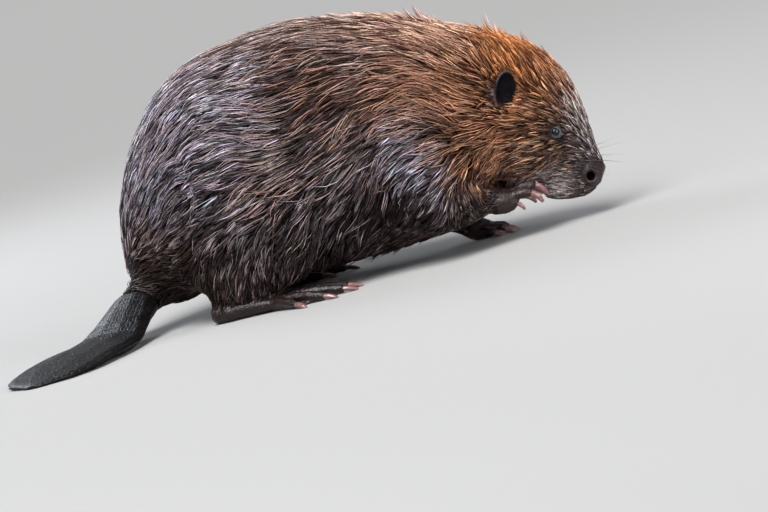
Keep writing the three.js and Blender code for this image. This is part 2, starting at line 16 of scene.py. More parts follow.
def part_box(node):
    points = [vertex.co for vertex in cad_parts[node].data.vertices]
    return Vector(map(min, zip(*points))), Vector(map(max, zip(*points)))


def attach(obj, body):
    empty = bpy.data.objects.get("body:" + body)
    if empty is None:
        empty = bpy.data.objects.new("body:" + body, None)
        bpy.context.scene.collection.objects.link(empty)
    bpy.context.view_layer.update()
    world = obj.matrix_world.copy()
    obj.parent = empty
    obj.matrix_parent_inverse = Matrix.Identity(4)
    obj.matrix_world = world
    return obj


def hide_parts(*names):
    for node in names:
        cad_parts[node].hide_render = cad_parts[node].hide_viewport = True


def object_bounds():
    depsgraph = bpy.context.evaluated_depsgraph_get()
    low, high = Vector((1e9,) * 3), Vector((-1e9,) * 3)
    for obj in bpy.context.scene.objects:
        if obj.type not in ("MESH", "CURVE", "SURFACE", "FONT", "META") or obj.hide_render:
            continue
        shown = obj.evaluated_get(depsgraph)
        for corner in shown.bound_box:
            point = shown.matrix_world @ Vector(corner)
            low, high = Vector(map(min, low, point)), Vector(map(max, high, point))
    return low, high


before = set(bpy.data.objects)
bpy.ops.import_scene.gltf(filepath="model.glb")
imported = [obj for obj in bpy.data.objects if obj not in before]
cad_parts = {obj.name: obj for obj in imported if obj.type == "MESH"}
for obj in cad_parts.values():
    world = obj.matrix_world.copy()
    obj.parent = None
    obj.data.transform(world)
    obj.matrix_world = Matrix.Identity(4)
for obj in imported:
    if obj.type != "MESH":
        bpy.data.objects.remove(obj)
CAD_BOX = [list(corner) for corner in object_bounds()]
RANDOM = np.random.default_rng(20)

RIGHT = -1
LEFT = 1
SIDES = {"right": RIGHT, "left": LEFT}

# ---- places on the animal

EYE = (224.0, 39.4, 106.3)
EYE_RADIUS = 8.2
GAZE = (0.13, 0.985, 0.11)
EYE_RINGS, EYE_POINTS, LID_POINTS = 40, 56, 72  # rings of the eyeball, and points round it and round the lids
CORNEA = (0.07, 0.62)  # how far it stands out, as a share of the radius, and its half width in radians
LID_OPENING = 54  # degrees from the line of sight to the lids' edge
# The lids' section, outwards and back: degrees past the edge, and radius, where the eye's own is LID_EYE.
LID_PROFILE = [
    (0, 6.3), (-1.5, 6.95), (0, 7.75), (5, 8.0), (11, 7.55), (15, 7.7), (20, 7.2), (26, 6.4), (26, 4.6),
    (12, 5.4),
]
LID_EYE = 6.6
EAR = (180.5, 71.5, 169)
EAR_SIZE = (14.5, 5.2, 24)  # half its width, depth and height
EAR_LEAN, EAR_FLARE, EAR_TURN = 13, 9, -25  # degrees
EAR_MOUTH = 0.9  # the hollow's share of the ear
NOSTRIL = (252, 22.5, 46)
NOSTRIL_RIM = (0.8, 8.0, 1.6)  # height, radius and half width
NOSTRIL_PIT = (2.5, 6.5, 3.0)  # depth, and the radii where it begins and where it is whole
NOSTRIL_SHADE = (6.4, 5.0)  # radii where the nostril's painted shade begins and where it is whole
NOSE_PAD = ((259, 47), (15.5, 14.5))  # middle and half sizes of the bare nose in x and z
NOSE_BACK = 235  # x behind which nothing is nose
NOSE_RIM = (0.9, 1.05, 0.09)  # depth of its groove, and where it runs and its half width over the pad's size
CLEFT = (1.3, 1.1)  # depth and half width of the cleft from the nose down to the lips
LIPS = [(256, 3, 27), (250, 12, 26), (240, 20, 28), (230, 25, 33), (221, 28, 40)]
LIP_GROOVE = (3.0, 1.7)  # depth and half width
TEAR_HOLLOW = (1.4, (235.5, 38, 100), (5, 9, 2.8))  # depth, middle and sizes
ORIGIN = np.mean([list(c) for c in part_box("eye_right")], axis=0) * 1000 - np.array(EYE) * (1, RIGHT, 1)

HINDPAWS = ["hind_foot_right", "hind_foot_left"]
FOREPAWS = ["front_foot_right", "front_foot_left"]
PAWS = HINDPAWS + FOREPAWS
EARS = ["ear_right", "ear_left"]
BARE = [*EARS, "tail", *PAWS]
FLESH = [
    "head", "nose", *EARS, "neck", "trunk", "tail_root", "tail",
    "hind_leg_right", "hind_leg_left", "front_leg_right", "front_leg_left", *PAWS,
]
LABEL = {name: i for i, name in enumerate(FLESH)}

# ---- the skin's numbers

VOXEL = 1.5
SEAL = 0.35  # how far the solids swell, so that the cuts between them close
SMOOTHING = 42  # rounds that take the solids' facets out of the trunk and legs
SMALL_SMOOTHING = 5  # rounds, each in and out again, that smooth what is small and keep its size
CREASE = 0.7  # depth of the creases of the paws
FLOOR_GAP = 0.15  # least height of the skin
SKIN_FACETS = 185000  # Decimate's ratio is this over the fine skin's triangles, and leaves about 96,000
# Folds of the flanks and cheeks: line in x and z, how far in, or out where under zero, and half width.
# The deeper folds also get painted shade in their hair.
FOLDS = {
    "behind_elbow": ([(8, 120), (16, 96), (28, 72), (43, 50)], 8, 9),
    "over_shoulder": ([(20, 172), (50, 192), (88, 186), (112, 158), (116, 128)], 4, 9),
    "shoulder": ([(46, 138), (74, 128)], -4, 24),
    "behind_thigh": ([(-196, 190), (-192, 166), (-194, 140), (-206, 114), (-210, 90), (-206, 62)], 8, 7),
    "before_thigh": ([(-106, 108), (-114, 88), (-116, 58)], 6, 8),
    "knee": ([(-84, 96), (-82, 74)], -3, 12),
    "cheek": ([(160, 130), (152, 104), (156, 78)], 3, 8),
    "jowl": ([(196, 80), (182, 92)], -2, 14),
}

# ---- the coat's numbers

# Colours of the hair, as the share of light that it sends back. Some light colours also hold a painted sheen.
GINGER = (0.80, 0.30, 0.085)
# Pale pinkish tips, lightened with a painted highlight, on the nape and withers.
APRICOT_SHEEN = (0.92, 0.57, 0.42)
COPPER = (0.60, 0.275, 0.14)
RUST = (0.36, 0.17, 0.10)
TAN = (0.48, 0.265, 0.155)
# Pinkish grey tips with a painted sheen of the sky on the wet hair of the back and rump.
MAUVE_SHEEN = (0.50, 0.36, 0.325)
DUSK = (0.33, 0.245, 0.235)
# Grey tips with a painted bluish sheen of the sky on the wet hair of shoulders, loins, haunches and rump.
LILAC_SHEEN = (0.47, 0.435, 0.52)
FROST = (0.70, 0.60, 0.58)
WHITE = (0.95, 0.82, 0.77)
ASH = (0.27, 0.235, 0.255)
DRAB = (0.22, 0.165, 0.155)
SLATE = (0.13, 0.105, 0.11)
CHESTNUT = (0.085, 0.028, 0.012)
UMBER = (0.036, 0.0175, 0.012)
SABLE = (0.015, 0.0092, 0.0085)

# Stations of the coat: place, lie of the hair, depth of the coat, length and width of a lock, how far its tip
# is drawn into its clump, dark and light colour, share of light locks, and the side of one that isn't paired.
STATIONS = {
    # On the snout and the bridge the pale light locks also stand for a painted highlight on the wet hair.
    "snout_top": ((256, 0, 74), (-0.5, 0, 0.87), 0.9, 8, 1.0, 0.3, SABLE, FROST, 0.55),
    "snout_side": ((260, 20, 84), (-0.6, 0.1, 0.8), 1.6, 14, 0.9, 0.7, SABLE, FROST, 0.7),
    "bridge": ((251, 0, 104), (-0.5, 0, 0.87), 2.2, 20, 0.9, 0.85, UMBER, WHITE, 0.92),
    "bridge_side": ((252, 30, 110), (-0.5, 0.05, 0.87), 2.4, 21, 0.9, 0.85, UMBER, WHITE, 0.85),
    "brow": ((242, 0, 145), (-0.45, 0, 0.89), 4.5, 20, 1.05, 0.8, CHESTNUT, COPPER, 0.55),
    "brow_side": ((236, 38, 142), (-0.6, 0, 0.8), 4, 20, 1.05, 0.8, UMBER, COPPER, 0.5),
    "forehead": ((222, 0, 180), (-0.6, 0, 0.8), 8, 24, 1.05, 0.75, CHESTNUT, GINGER, 0.68),
    "forehead_side": ((214, 50, 178), (-0.34, -0.3, 0.9), 7, 24, 1.05, 0.75, CHESTNUT, GINGER, 0.55),
    "crown": ((190, 0, 216), (-0.85, 0, 0.5), 11, 28, 1.2, 0.8, CHESTNUT, GINGER, 0.8),
    "crown_side": ((184, 50, 208), (-0.45, -0.4, 0.82), 9, 27, 1.2, 0.75, CHESTNUT, GINGER, 0.66),
    "lip": ((246, 30, 40), (-0.9, 0.3, 0.1), 0.9, 5, 0.95, 0.3, SABLE, DRAB, 0.4),
    "lip_patch": ((215, 24, 48), (-0.97, 0.1, 0.0), 2, 12, 0.95, 0.4, FROST, WHITE, 0.98),
    "lip_low": ((226, 20, 34), (-0.97, 0.1, 0), 1.4, 9, 0.95, 0.4, DRAB, FROST, 0.6),
    "muzzle": ((244, 32, 62), (-0.85, 0.25, 0.45), 1.3, 8, 1.0, 0.4, SABLE, DUSK, 0.55),
    "whisker_bed": ((239, 31, 46), (-0.92, 0.3, 0.25), 1.3, 7, 0.9, 0.4, SABLE, DUSK, 0.5),
    "muzzle_back": ((228, 38, 66), (-0.98, 0.1, 0.1), 2, 14, 1.0, 0.55, UMBER, TAN, 0.45),
    "under_eye": ((230, 42, 88), (-0.97, 0.1, 0.2), 2, 13, 1.0, 0.5, UMBER, TAN, 0.4),
    "eye_front": ((240, 36, 103), (-0.75, 0.05, 0.65), 1.6, 10, 0.95, 0.5, SABLE, UMBER, 0.3),
    "eye_back": ((210, 50, 108), (-0.97, 0.1, 0.2), 3, 17, 1.0, 0.6, UMBER, TAN, 0.45),
    "eye_top": ((228, 40, 124), (-0.68, 0.1, 0.72), 2.8, 14, 1.0, 0.5, UMBER, TAN, 0.4),
    "temple": ((204, 54, 138), (-0.87, 0.1, 0.48), 5, 23, 1.05, 0.7, CHESTNUT, COPPER, 0.48),
    "ear_base": ((188, 62, 150), (-0.94, 0.1, 0.34), 5, 18, 1.0, 0.6, CHESTNUT, COPPER, 0.5),
    "cheek": ((200, 60, 92), (-0.98, 0.05, 0.12), 5, 27, 1.0, 0.75, UMBER, TAN, 0.52),
    "cheek_back": ((170, 70, 100), (-0.99, 0, 0.08), 7, 30, 1.05, 0.75, UMBER, COPPER, 0.56),
    "jaw": ((195, 48, 62), (-0.99, 0.05, 0), 4, 22, 1.05, 0.7, UMBER, TAN, 0.42),
    "jaw_back": ((148, 76, 88), (-0.87, 0, -0.5), 7, 26, 1.1, 0.7, UMBER, COPPER, 0.5),
    "chin": ((226, 8, 18), (-1, 0, -0.1), 2.2, 8, 1.0, 0.3, SABLE, UMBER, 0.3),
    "throat": ((175, 20, 45), (-0.9, 0, -0.4), 6, 20, 1.3, 0.5, SABLE, UMBER, 0.3),
    "nape": ((140, 0, 260), (-0.95, 0, 0.3), 12, 32, 1.45, 0.75, UMBER, APRICOT_SHEEN, 0.9),
    "neck_top": ((168, 0, 243), (-0.9, 0, 0.42), 12, 30, 1.35, 0.75, UMBER, APRICOT_SHEEN, 0.75),
    "nape_side": ((145, 58, 232), (-0.82, -0.15, 0.56), 11, 32, 1.35, 0.75, CHESTNUT, APRICOT_SHEEN, 0.62),
    "neck_side": ((139, 86, 172), (-0.94, 0, 0.3), 10, 34, 1.35, 0.75, UMBER, COPPER, 0.42),
    "neck_fan": ((102, 102, 170), (-0.78, 0, 0.6), 9, 36, 1.35, 0.75, UMBER, RUST, 0.32),
    "neck_low": ((130, 92, 120), (-0.99, 0, -0.05), 9, 30, 1.35, 0.7, UMBER, COPPER, 0.4),
    "neck_under": ((133, 84, 92), (-0.88, 0, -0.47), 8, 28, 1.3, 0.7, UMBER, COPPER, 0.35),
    "shoulder_top": ((59, 112, 184), (-1, 0, 0), 8, 34, 1.45, 0.7, UMBER, RUST, 0.26),
    "shoulder": ((66, 118, 148), (-0.99, 0, -0.08), 8, 30, 1.4, 0.75, SABLE, LILAC_SHEEN, 0.85),
    "shoulder_back": ((24, 120, 128), (-0.82, 0, -0.57), 8, 30, 1.4, 0.8, SABLE, LILAC_SHEEN, 0.58),
    "upper_arm": ((74, 122, 104), (-0.9, 0, -0.43), 7, 25, 1.3, 0.75, SABLE, LILAC_SHEEN, 0.62),
    "elbow": ((46, 118, 78), (-0.66, 0, -0.75), 6, 24, 1.35, 0.8, SABLE, DRAB, 0.28),
    "chest": ((150, 0, 75), (-0.5, 0, -0.85), 8, 26, 1.5, 0.6, UMBER, TAN, 0.3),
    "forearm_right": ((105, 85, 60), (0.3, -0.1, -0.9), 3.5, 11, 1.1, 0.5, SABLE, DRAB, 0.3, RIGHT),
    "wrist_right": ((132, 70, 54), (0.9, -0.35, -0.1), 1.5, 7, 0.8, 0.3, SABLE, DRAB, 0.3, RIGHT),
    "forearm_left": ((85, 80, 45), (0.6, -0.2, -0.8), 3.5, 11, 1.1, 0.5, SABLE, DRAB, 0.3, LEFT),
    "wrist_left": ((105, 66, 22), (0.7, -0.2, -0.6), 1.5, 7, 0.8, 0.3, SABLE, DRAB, 0.3, LEFT),
    "withers": ((85, 0, 280), (-1, 0, 0.1), 11, 35, 1.5, 0.7, UMBER, APRICOT_SHEEN, 0.5),
    "ribs_top": ((20, 72, 270), (-0.99, 0, 0.1), 10, 36, 1.5, 0.7, UMBER, MAUVE_SHEEN, 0.42),
    "ribs_high": ((-15, 108, 232), (-0.97, 0, -0.25), 9, 38, 1.5, 0.75, SABLE, RUST, 0.08),
    "ribs": ((25, 120, 170), (-0.93, 0, -0.37), 9, 40, 1.5, 0.75, SABLE, DUSK, 0.06),
    "ribs_back": ((-28, 127, 160), (-0.93, 0, -0.37), 9, 38, 1.5, 0.75, SABLE, DUSK, 0.16),
    "ribs_low": ((5, 117, 92), (-0.62, 0, -0.78), 9, 34, 1.5, 0.8, SABLE, DRAB, 0.25),
    "flank_low": ((-45, 116, 95), (-0.8, 0, -0.6), 9, 32, 1.5, 0.8, SABLE, ASH, 0.33),
    "belly_edge": ((-20, 100, 45), (-0.62, 0, -0.78), 9, 30, 1.6, 0.9, SABLE, SLATE, 0.2),
    "belly": ((0, 0, 16), (-1, 0, 0), 7, 26, 2.1, 0.5, SABLE, UMBER, 0.4),
    "loin_top": ((-90, 0, 302), (-1, 0, 0.05), 10, 36, 1.5, 0.7, UMBER, MAUVE_SHEEN, 0.45),
    "loin_high": ((-110, 80, 268), (-0.99, 0, -0.02), 9, 34, 1.5, 0.7, UMBER, LILAC_SHEEN, 0.55),
    "loin": ((-118, 117, 208), (-0.97, 0, 0.2), 9, 34, 1.5, 0.75, SABLE, LILAC_SHEEN, 0.62),
    "flank": ((-88, 125, 148), (-0.98, 0, -0.16), 9, 34, 1.5, 0.75, SABLE, DUSK, 0.38),
    "haunch_top": ((-170, 115, 180), (-0.97, 0, -0.24), 8, 32, 1.5, 0.75, SABLE, LILAC_SHEEN, 0.5),
    "haunch": ((-150, 128, 115), (-0.93, 0, -0.36), 7, 30, 1.5, 0.8, SABLE, ASH, 0.42),
    "haunch_low": ((-150, 128, 68), (-0.55, 0, -0.83), 6, 25, 1.5, 0.85, SABLE, DRAB, 0.2),
    "knee": ((-84, 122, 75), (-0.7, 0, -0.7), 6, 25, 1.5, 0.8, SABLE, DRAB, 0.2),
    "shank": ((-135, 118, 42), (-0.2, 0, -0.97), 4, 14, 1.3, 0.7, SABLE, DRAB, 0.16),
    "heel": ((-190, 100, 24), (-0.2, 0, -1), 2.5, 9, 1.1, 0.4, SABLE, UMBER, 0.4),
    "rump_top": ((-205, 0, 258), (-0.85, 0, -0.53), 9, 34, 1.5, 0.75, SABLE, LILAC_SHEEN, 0.8),
    "rump_high": ((-200, 66, 230), (-0.82, 0, -0.58), 9, 34, 1.5, 0.75, SABLE, LILAC_SHEEN, 0.7),
    "rump_side": ((-236, 78, 165), (-0.78, 0, -0.62), 8, 30, 1.45, 0.75, SABLE, LILAC_SHEEN, 0.9),
    "rump_low": ((-242, 80, 115), (-0.95, 0, -0.3), 7, 26, 1.4, 0.7, UMBER, MAUVE_SHEEN, 0.62),
    "rump_under": ((-248, 72, 78), (-0.85, -0.3, -0.2), 6, 22, 1.4, 0.6, SABLE, UMBER, 0.3),
    "rump_rear": ((-280, 0, 120), (-0.25, 0, -0.97), 7, 28, 1.5, 0.75, SABLE, ASH, 0.4),
    "vent": ((-230, 0, 35), (-1, 0, -0.2), 6, 22, 1.7, 0.6, SABLE, UMBER, 0.3),
    "tail_root": ((-285, 22, 47), (-0.656, -0.755, -0.1), 5, 18, 1.4, 0.7, SABLE, UMBER, 0.25, RIGHT),
}

# How far the tips of guard locks and strands may stand off the coat, as a share of its depth.
STAND = {
    "forehead": 1.3, "forehead_side": 0.6, "crown": 1.8, "crown_side": 0.7, "nape": 1.4, "nape_side": 0.5,
    "brow": 0.5, "temple": 0.3, "withers": 0.7, "ribs_top": 0.3, "belly_edge": 2.6, "belly": 0.9,
    "flank_low": 0.35, "loin_top": 0.35, "neck_side": 0.3, "neck_fan": 0.3, "rump_top": 0.3, "elbow": 0.5,
    "ribs_low": 0.3, "knee": 0.4, "haunch_low": 0.5,
}
STAND_ELSEWHERE = 0.14

# How many long single strands lie over the coat, as a share of the most.
STRANDS = {
    "neck_fan": 0.8, "neck_side": 0.8, "shoulder_top": 0.6, "ribs": 0.32, "ribs_high": 0.3, "ribs_back": 0.25,
    "ribs_top": 0.4, "loin_high": 0.3, "loin": 0.4, "flank": 0.5, "nape_side": 0.6, "cheek_back": 0.6,
    "shoulder_back": 0.5, "neck_low": 0.6, "haunch_top": 0.3, "rump_high": 0.4,
}
STRANDS_ELSEWHERE = 0.15

COVER = 1.66  # the spacing of the locks over their width
BLEND_NEAR, BLEND_POWER = 80, 2.2  # mm2 within which a station rules, and how fast it gives way
CHUNK = 40000  # vertices that are mixed at a time, for the memory's sake
# The three layers of the coat: share of the locks, length and width over the station's, spread of headings in
# radians, locks to a clump, how high they lie as shares of the coat's depth, how bright and how glossy they
# are, and where the rings of a lock lie along it.
LAYERS = {
    "guard": {"share": 0.42, "long": 1.0, "wide": 1.0, "stray": 0.1, "clump": 6, "level": (0.7, 1.0),
              "bright": 1.0, "gloss": 1.0, "steps": np.array((0.0, 0.2, 0.45, 0.72, 1.0))},
    # The under layer's half brightness is painted shade deep in the coat, between the clumps.
    "under": {"share": 0.5, "long": 0.6, "wide": 1.05, "stray": 0.2, "clump": 9, "level": (0.3, 0.7),
              "bright": 0.5, "gloss": 0.1, "steps": np.array((0.0, 0.5, 1.0))},
    "strand": {"share": 0.07, "long": 1.45, "wide": 0.62, "stray": 0.2, "clump": 4, "level": (0.95, 1.2),
               "bright": 1.0, "gloss": 1.0, "steps": np.array((0.0, 0.2, 0.45, 0.72, 1.0))},
}
LOCK_SECTION = ((-1.0, -0.28), (1.0, -0.28), (0.0, 0.62))  # a lock's corners, as shares of half its width
ROOT_SINK = 0.6  # how deep a lock's root lies in the skin
WAVE, SWING = 13.0, 0.55  # length and height of the waves of the wet locks
WAVY = 20  # length from which a lock's waves have their whole height
HANGING = (70, 40)  # heights between which locks that point down begin to hang free
UV_PATCH = 0.003  # size of a lock's patch in OFBake, whose unit is the whole sleeve
SLEEVE_AXIS = 140  # height of the middle of that sleeve

# ---- the bare skin

BARE_TONES = [  # nodes, colour, and rounds that soften its edge
    (FOREPAWS, (0.0185, 0.0082, 0.0078), 30),
    (HINDPAWS, (0.0120, 0.0060, 0.0052), 12),
    (["tail"], (0.0042, 0.0034, 0.0037), 5),
    (EARS, (0.0045, 0.0038, 0.0044), 5),
]
NOSE_TONE = np.array((0.016, 0.0062, 0.0052))
# A bluish painted highlight along the rims of the ears.
EAR_RIM_HIGHLIGHT = np.array((0.06, 0.052, 0.06))
TAIL_TURN = -61  # degrees that lay the rows of the tail's scales along it
TAIL_SCALES = (130.0, 210.0, 60.0)  # scales to a metre along it, across it and up

# ---- the whiskers

WHISKER_BEDS = [  # middle, spread, number, heading, length, droop
    ((238, 31, 69), (5, 2, 3.5), 7, (0.86, 0.42, -0.08), 72, 8),
    ((228, 35, 56), (5, 2, 6), 6, (0.12, 0.95, -0.3), 40, 8),
    ((232, 32, 128), (3, 2, 3), 4, (0.55, 0.35, 0.75), 20, 2),
    ((196, 60, 84), (3, 2, 3), 3, (0.1, 0.95, -0.2), 26, 4),
]

# ---- the picture, in metres and degrees

FLOOR_SIDE = 80.0
# Soft boxes: name, place, aim, size, watts, colour and spread.
LIGHTS = [
    ("key", (-1.3, -2.2, 1.9), (0, 0, 0.15), (1.1, 0.9), 20, (1.0, 0.97, 0.93), 180),
    ("front", (2.3, -1.3, 1.5), (0.2, 0, 0.1), (1.2, 1.2), 20, (0.93, 0.96, 1.0), 180),
    ("glint", (-0.6, -2.3, 1.65), (0.2, 0, 0.1), (0.5, 0.5), 15, (0.8, 0.9, 1.0), 180),
    ("fill", (1.5, -1.7, 0.6), (0.22, 0, 0.1), (0.7, 0.7), 2, (0.95, 0.96, 1.0), 50),
    ("rim", (-1.5, 1.6, 1.3), (0, 0, 0.15), (1.6, 1.0), 34, (0.85, 0.92, 1.0), 180),
]
CAMERA_ROLL, CAMERA_LIFT, CAMERA_AWAY = 15, 6, 4.5
PICTURE_MIDDLE = (0, 0, 16.2)  # in millimetres of the animal's frame
PICTURE_WIDTH = 768 * 1.15  # pixels, and millimetres to each at the animal's middle
SENSOR = 36  # width in millimetres


def row(points):
    """Points of the animal's frame in millimetres, in the frame's metres."""
    return (np.asarray(points, float) + ORIGIN) / 1000


def on_side(place, side):
    """A paired place or heading, on one side."""
    return np.array(place, float) * (1, side, 1)


def unit(v):
    return v / np.maximum(np.linalg.norm(v, axis=-1, keepdims=True), 1e-9)


def hill(x):
    """1 at zero, and less on both sides."""
    return np.exp(-(x**2))


def smoothstep(low, high, x):
    """0 at low and 1 at high, which may be the smaller, and smooth between them."""
    t = np.clip((np.asarray(x, float) - low) / (high - low), 0, 1)
    return t * t * (3 - 2 * t)


def line_distance(points, line):
    """Distance from each point to a line of straight pieces."""
    best = np.full(len(points), 1e9)
    for a, b in zip(line[:-1], line[1:]):
        t = np.clip(((points - a) @ (b - a)) / ((b - a) @ (b - a)), 0, 1)
        best = np.minimum(best, np.linalg.norm(points - a - t[:, None] * (b - a), axis=1))
    return best


# ---- meshes as arrays


def arrays(mesh):
    """Vertices in the animal's millimetres, and triangles."""
    mesh.calc_loop_triangles()
    v = np.empty(len(mesh.vertices) * 3, np.float32)
    mesh.vertices.foreach_get("co", v)
    t = np.empty(len(mesh.loop_triangles) * 3, np.int32)
    mesh.loop_triangles.foreach_get("vertices", t)
    return v.reshape(-1, 3).astype(float) * 1000 - ORIGIN, t.reshape(-1, 3)


def welded(v, t):
    """A mesh whose vertices at one place, to a micrometre, are one, without the triangles that vanish."""
    _, index, back = np.unique(np.round(v, 3), axis=0, return_index=True, return_inverse=True)
    t = back.reshape(-1)[t]
    good = (t[:, 0] != t[:, 1]) & (t[:, 1] != t[:, 2]) & (t[:, 0] != t[:, 2])
    return v[index], t[good]


def normals(v, t):
    """Vertex normals, each face weighted by its area."""
    face = np.cross(v[t[:, 1]] - v[t[:, 0]], v[t[:, 2]] - v[t[:, 0]])
    out = np.zeros_like(v)
    for axis in range(3):
        for corner in range(3):
            out[:, axis] += np.bincount(t[:, corner], face[:, axis], len(v))
    return unit(out)


def edges(t):
    """Each pair of vertices that a triangle joins, once."""
    pairs = np.sort(np.concatenate([t[:, [0, 1]], t[:, [1, 2]], t[:, [2, 0]]]), axis=1)
    return np.unique(pairs, axis=0)


def relaxed(values, pairs, rounds, amount):
    """Values drawn towards the mean of their neighbours, by amount at each vertex."""
    a, b = pairs.T
    n = len(values)
    count = (np.bincount(a, minlength=n) + np.bincount(b, minlength=n)).clip(1)
    values = values.copy()
    for _ in range(rounds):
        for axis in range(values.shape[1]):
            column = values[:, axis]
            mean = (np.bincount(a, column[b], n) + np.bincount(b, column[a], n)) / count
            values[:, axis] = column + amount * (mean - column)
    return values


def add_object(name, data):
    made = bpy.data.objects.new(name, data)
    bpy.context.scene.collection.objects.link(made)
    return made


def round_off(mesh):
    """Shades a mesh smoothly."""
    mesh.polygons.foreach_set("use_smooth", np.ones(len(mesh.polygons), bool))


def move(mesh, v):
    """Puts a mesh's vertices at places in the animal's millimetres."""
    mesh.vertices.foreach_set("co", row(v).astype(np.float32).ravel())


def mesh_object(name, v, faces):
    """A piece from vertices in millimetres and triangles."""
    faces = np.asarray(faces, np.int32)
    mesh = bpy.data.meshes.new(name)
    mesh.vertices.add(len(v))
    move(mesh, v)
    mesh.loops.add(faces.size)
    mesh.loops.foreach_set("vertex_index", faces.ravel())
    mesh.polygons.add(len(faces))
    mesh.polygons.foreach_set("loop_start", np.arange(0, faces.size, 3, dtype=np.int32))
    mesh.update(calc_edges=True)
    round_off(mesh)
    return add_object(name, mesh)


def paint(piece, name, colours):
    """A colour at each vertex, and perhaps its shine as a fourth value, which the materials read by name."""
    layer = piece.data.color_attributes.new(name, "FLOAT_COLOR", "POINT")
    rgba = np.ones((len(piece.data.vertices), 4), np.float32)
    rgba[:, : colours.shape[1]] = colours
    layer.data.foreach_set("color", rgba.ravel())


def apply(piece, kind, **settings):
    """Gives the piece one modifier and applies it."""
    modifier = piece.modifiers.new(kind, kind)
    for key, value in settings.items():
        setattr(modifier, key, value)
    bpy.context.view_layer.update()
    shown = piece.evaluated_get(bpy.context.evaluated_depsgraph_get())
    mesh = bpy.data.meshes.new_from_object(shown)
    piece.modifiers.clear()
    old = piece.data
    piece.data = mesh
    bpy.data.meshes.remove(old)


# ---- the skin's shape


def solids():
    """The flesh solids, swollen a little so that their cuts close, and the label of each triangle."""
    vs, ts, labels, start = [], [], [], 0
    for name in FLESH:
        v, t = welded(*arrays(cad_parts[name].data))
        vs.append(v + SEAL * normals(v, t))
        ts.append(t + start)
        labels.append(np.full(len(t), LABEL[name]))
        start += len(v)
    return np.concatenate(vs), np.concatenate(ts), np.concatenate(labels)


def labelled(v, solid_v, solid_t, solid_label):
    """The flesh node nearest to each point."""
    tree = BVHTree.FromPolygons(solid_v.tolist(), solid_t.tolist())
    found = np.fromiter((tree.find_nearest(p)[2] for p in v.tolist()), np.int64, len(v))
    return solid_label[found]


def share(names, rounds, label, pairs):
    """1 on the skin of the named nodes and 0 off it, softened at its edge."""
    chosen = np.isin(label, [LABEL[name] for name in names]).astype(float)
    return relaxed(chosen[:, None], pairs, rounds, 0.6)[:, 0]


def in_ear(points, side, margin=(0, 0, 0)):
    """How far each point is out of an ear's mouth and from its middle, as shares of its size, and its axes.

    The axes are columns: across, out of the mouth of the left one, and up.
    """
    flare, lean, turn = (math.radians(a) for a in (-side * EAR_FLARE, EAR_LEAN, side * EAR_TURN))
    turned = Matrix.Rotation(turn, 3, "Z") @ Matrix.Rotation(lean, 3, "Y") @ Matrix.Rotation(flare, 3, "X")
    axes = np.array(turned)
    local = (points - on_side(EAR, side)) @ axes / (np.array(EAR_SIZE, float) + margin)
    return side * local[:, 1], np.hypot(local[:, 0], local[:, 2]), axes


def cup_ear(v, side):
    """Hollows the mouth of an ear, and leaves a rim. Lengths are shares of the ear's size."""
    out, radius, axes = in_ear(v, side)
    front = (np.abs(out) < 1.6) & (radius < 1.02) & (out > -0.4)
    cup = 0.62 - 1.5 * np.clip(1 - (radius / EAR_MOUTH) ** 2, 0, 1) ** 0.8
    hollow = np.maximum(np.where(radius < EAR_MOUTH, np.minimum(out, cup), out), -0.72)
    push = np.where(front, hollow - out, 0) * EAR_SIZE[1]
    return v + side * push[:, None] * axes[:, 1]


def along_lips(v, side):
    """Distance from each point to the line where the lips meet."""
    return line_distance(v, on_side(LIPS, side))


def from_nostril(v, side):
    """Distance from each point to the middle of a nostril."""
    return np.linalg.norm(v - on_side(NOSTRIL, side), axis=1)


def in_nostril(v, side):
    """1 in the painted shade of a nostril's hollow and 0 off it."""
    return smoothstep(*NOSTRIL_SHADE, from_nostril(v, side))


def from_nose(v):
    """Distance from the middle of the nose's pad, over its half size, and whether a point is on the snout."""
    middle, half = NOSE_PAD
    return np.linalg.norm((v[:, [0, 2]] - middle) / half, axis=1), v[:, 0] > NOSE_BACK


def on_nose(v):
    """1 on the bare pad of the nose and 0 off it."""
    away, ahead = from_nose(v)
    return smoothstep(1.08, 0.92, away) * ahead


def folded(v, n):
    """How far each point lies in the folds: their depth there, and the painted shade of the hair in them."""
    push, dark = np.zeros(len(v)), np.zeros(len(v))
    facing = smoothstep(0.15, 0.5, np.abs(n[:, 1]))
    for line, depth, width in FOLDS.values():
        near = hill(line_distance(v[:, [0, 2]], np.array(line, float)) / width) * facing
        push -= depth * near
        # Painted shade, the darker the deeper the fold.
        dark = np.maximum(dark, near * np.clip(depth / 8, 0, 1))
    return push, dark


def face_detail(v, n):
    """Nostrils and their rims, the cleft under the nose, the lips and the hollow in front of each eye."""
    push = np.zeros(len(v))
    for side in SIDES.values():
        away = from_nostril(v, side)
        height, radius, width = NOSTRIL_RIM
        push += height * hill((away - radius) / width)
        depth, *radii = NOSTRIL_PIT
        push -= depth * smoothstep(*radii, away)
        depth, width = LIP_GROOVE
        push -= depth * hill(along_lips(v, side) / width)
        depth, middle, size = TEAR_HOLLOW
        push -= depth * hill(np.linalg.norm((v - on_side(middle, side)) / size, axis=1))
    depth, width = CLEFT
    push -= depth * (hill(v[:, 1] / width) * smoothstep(250, 258, v[:, 0]) * smoothstep(44, 36, v[:, 2]))
    away, ahead = from_nose(v)
    depth, radius, width = NOSE_RIM
    push -= depth * (hill((away - radius) / width) * ahead)
    return v + n * push[:, None]


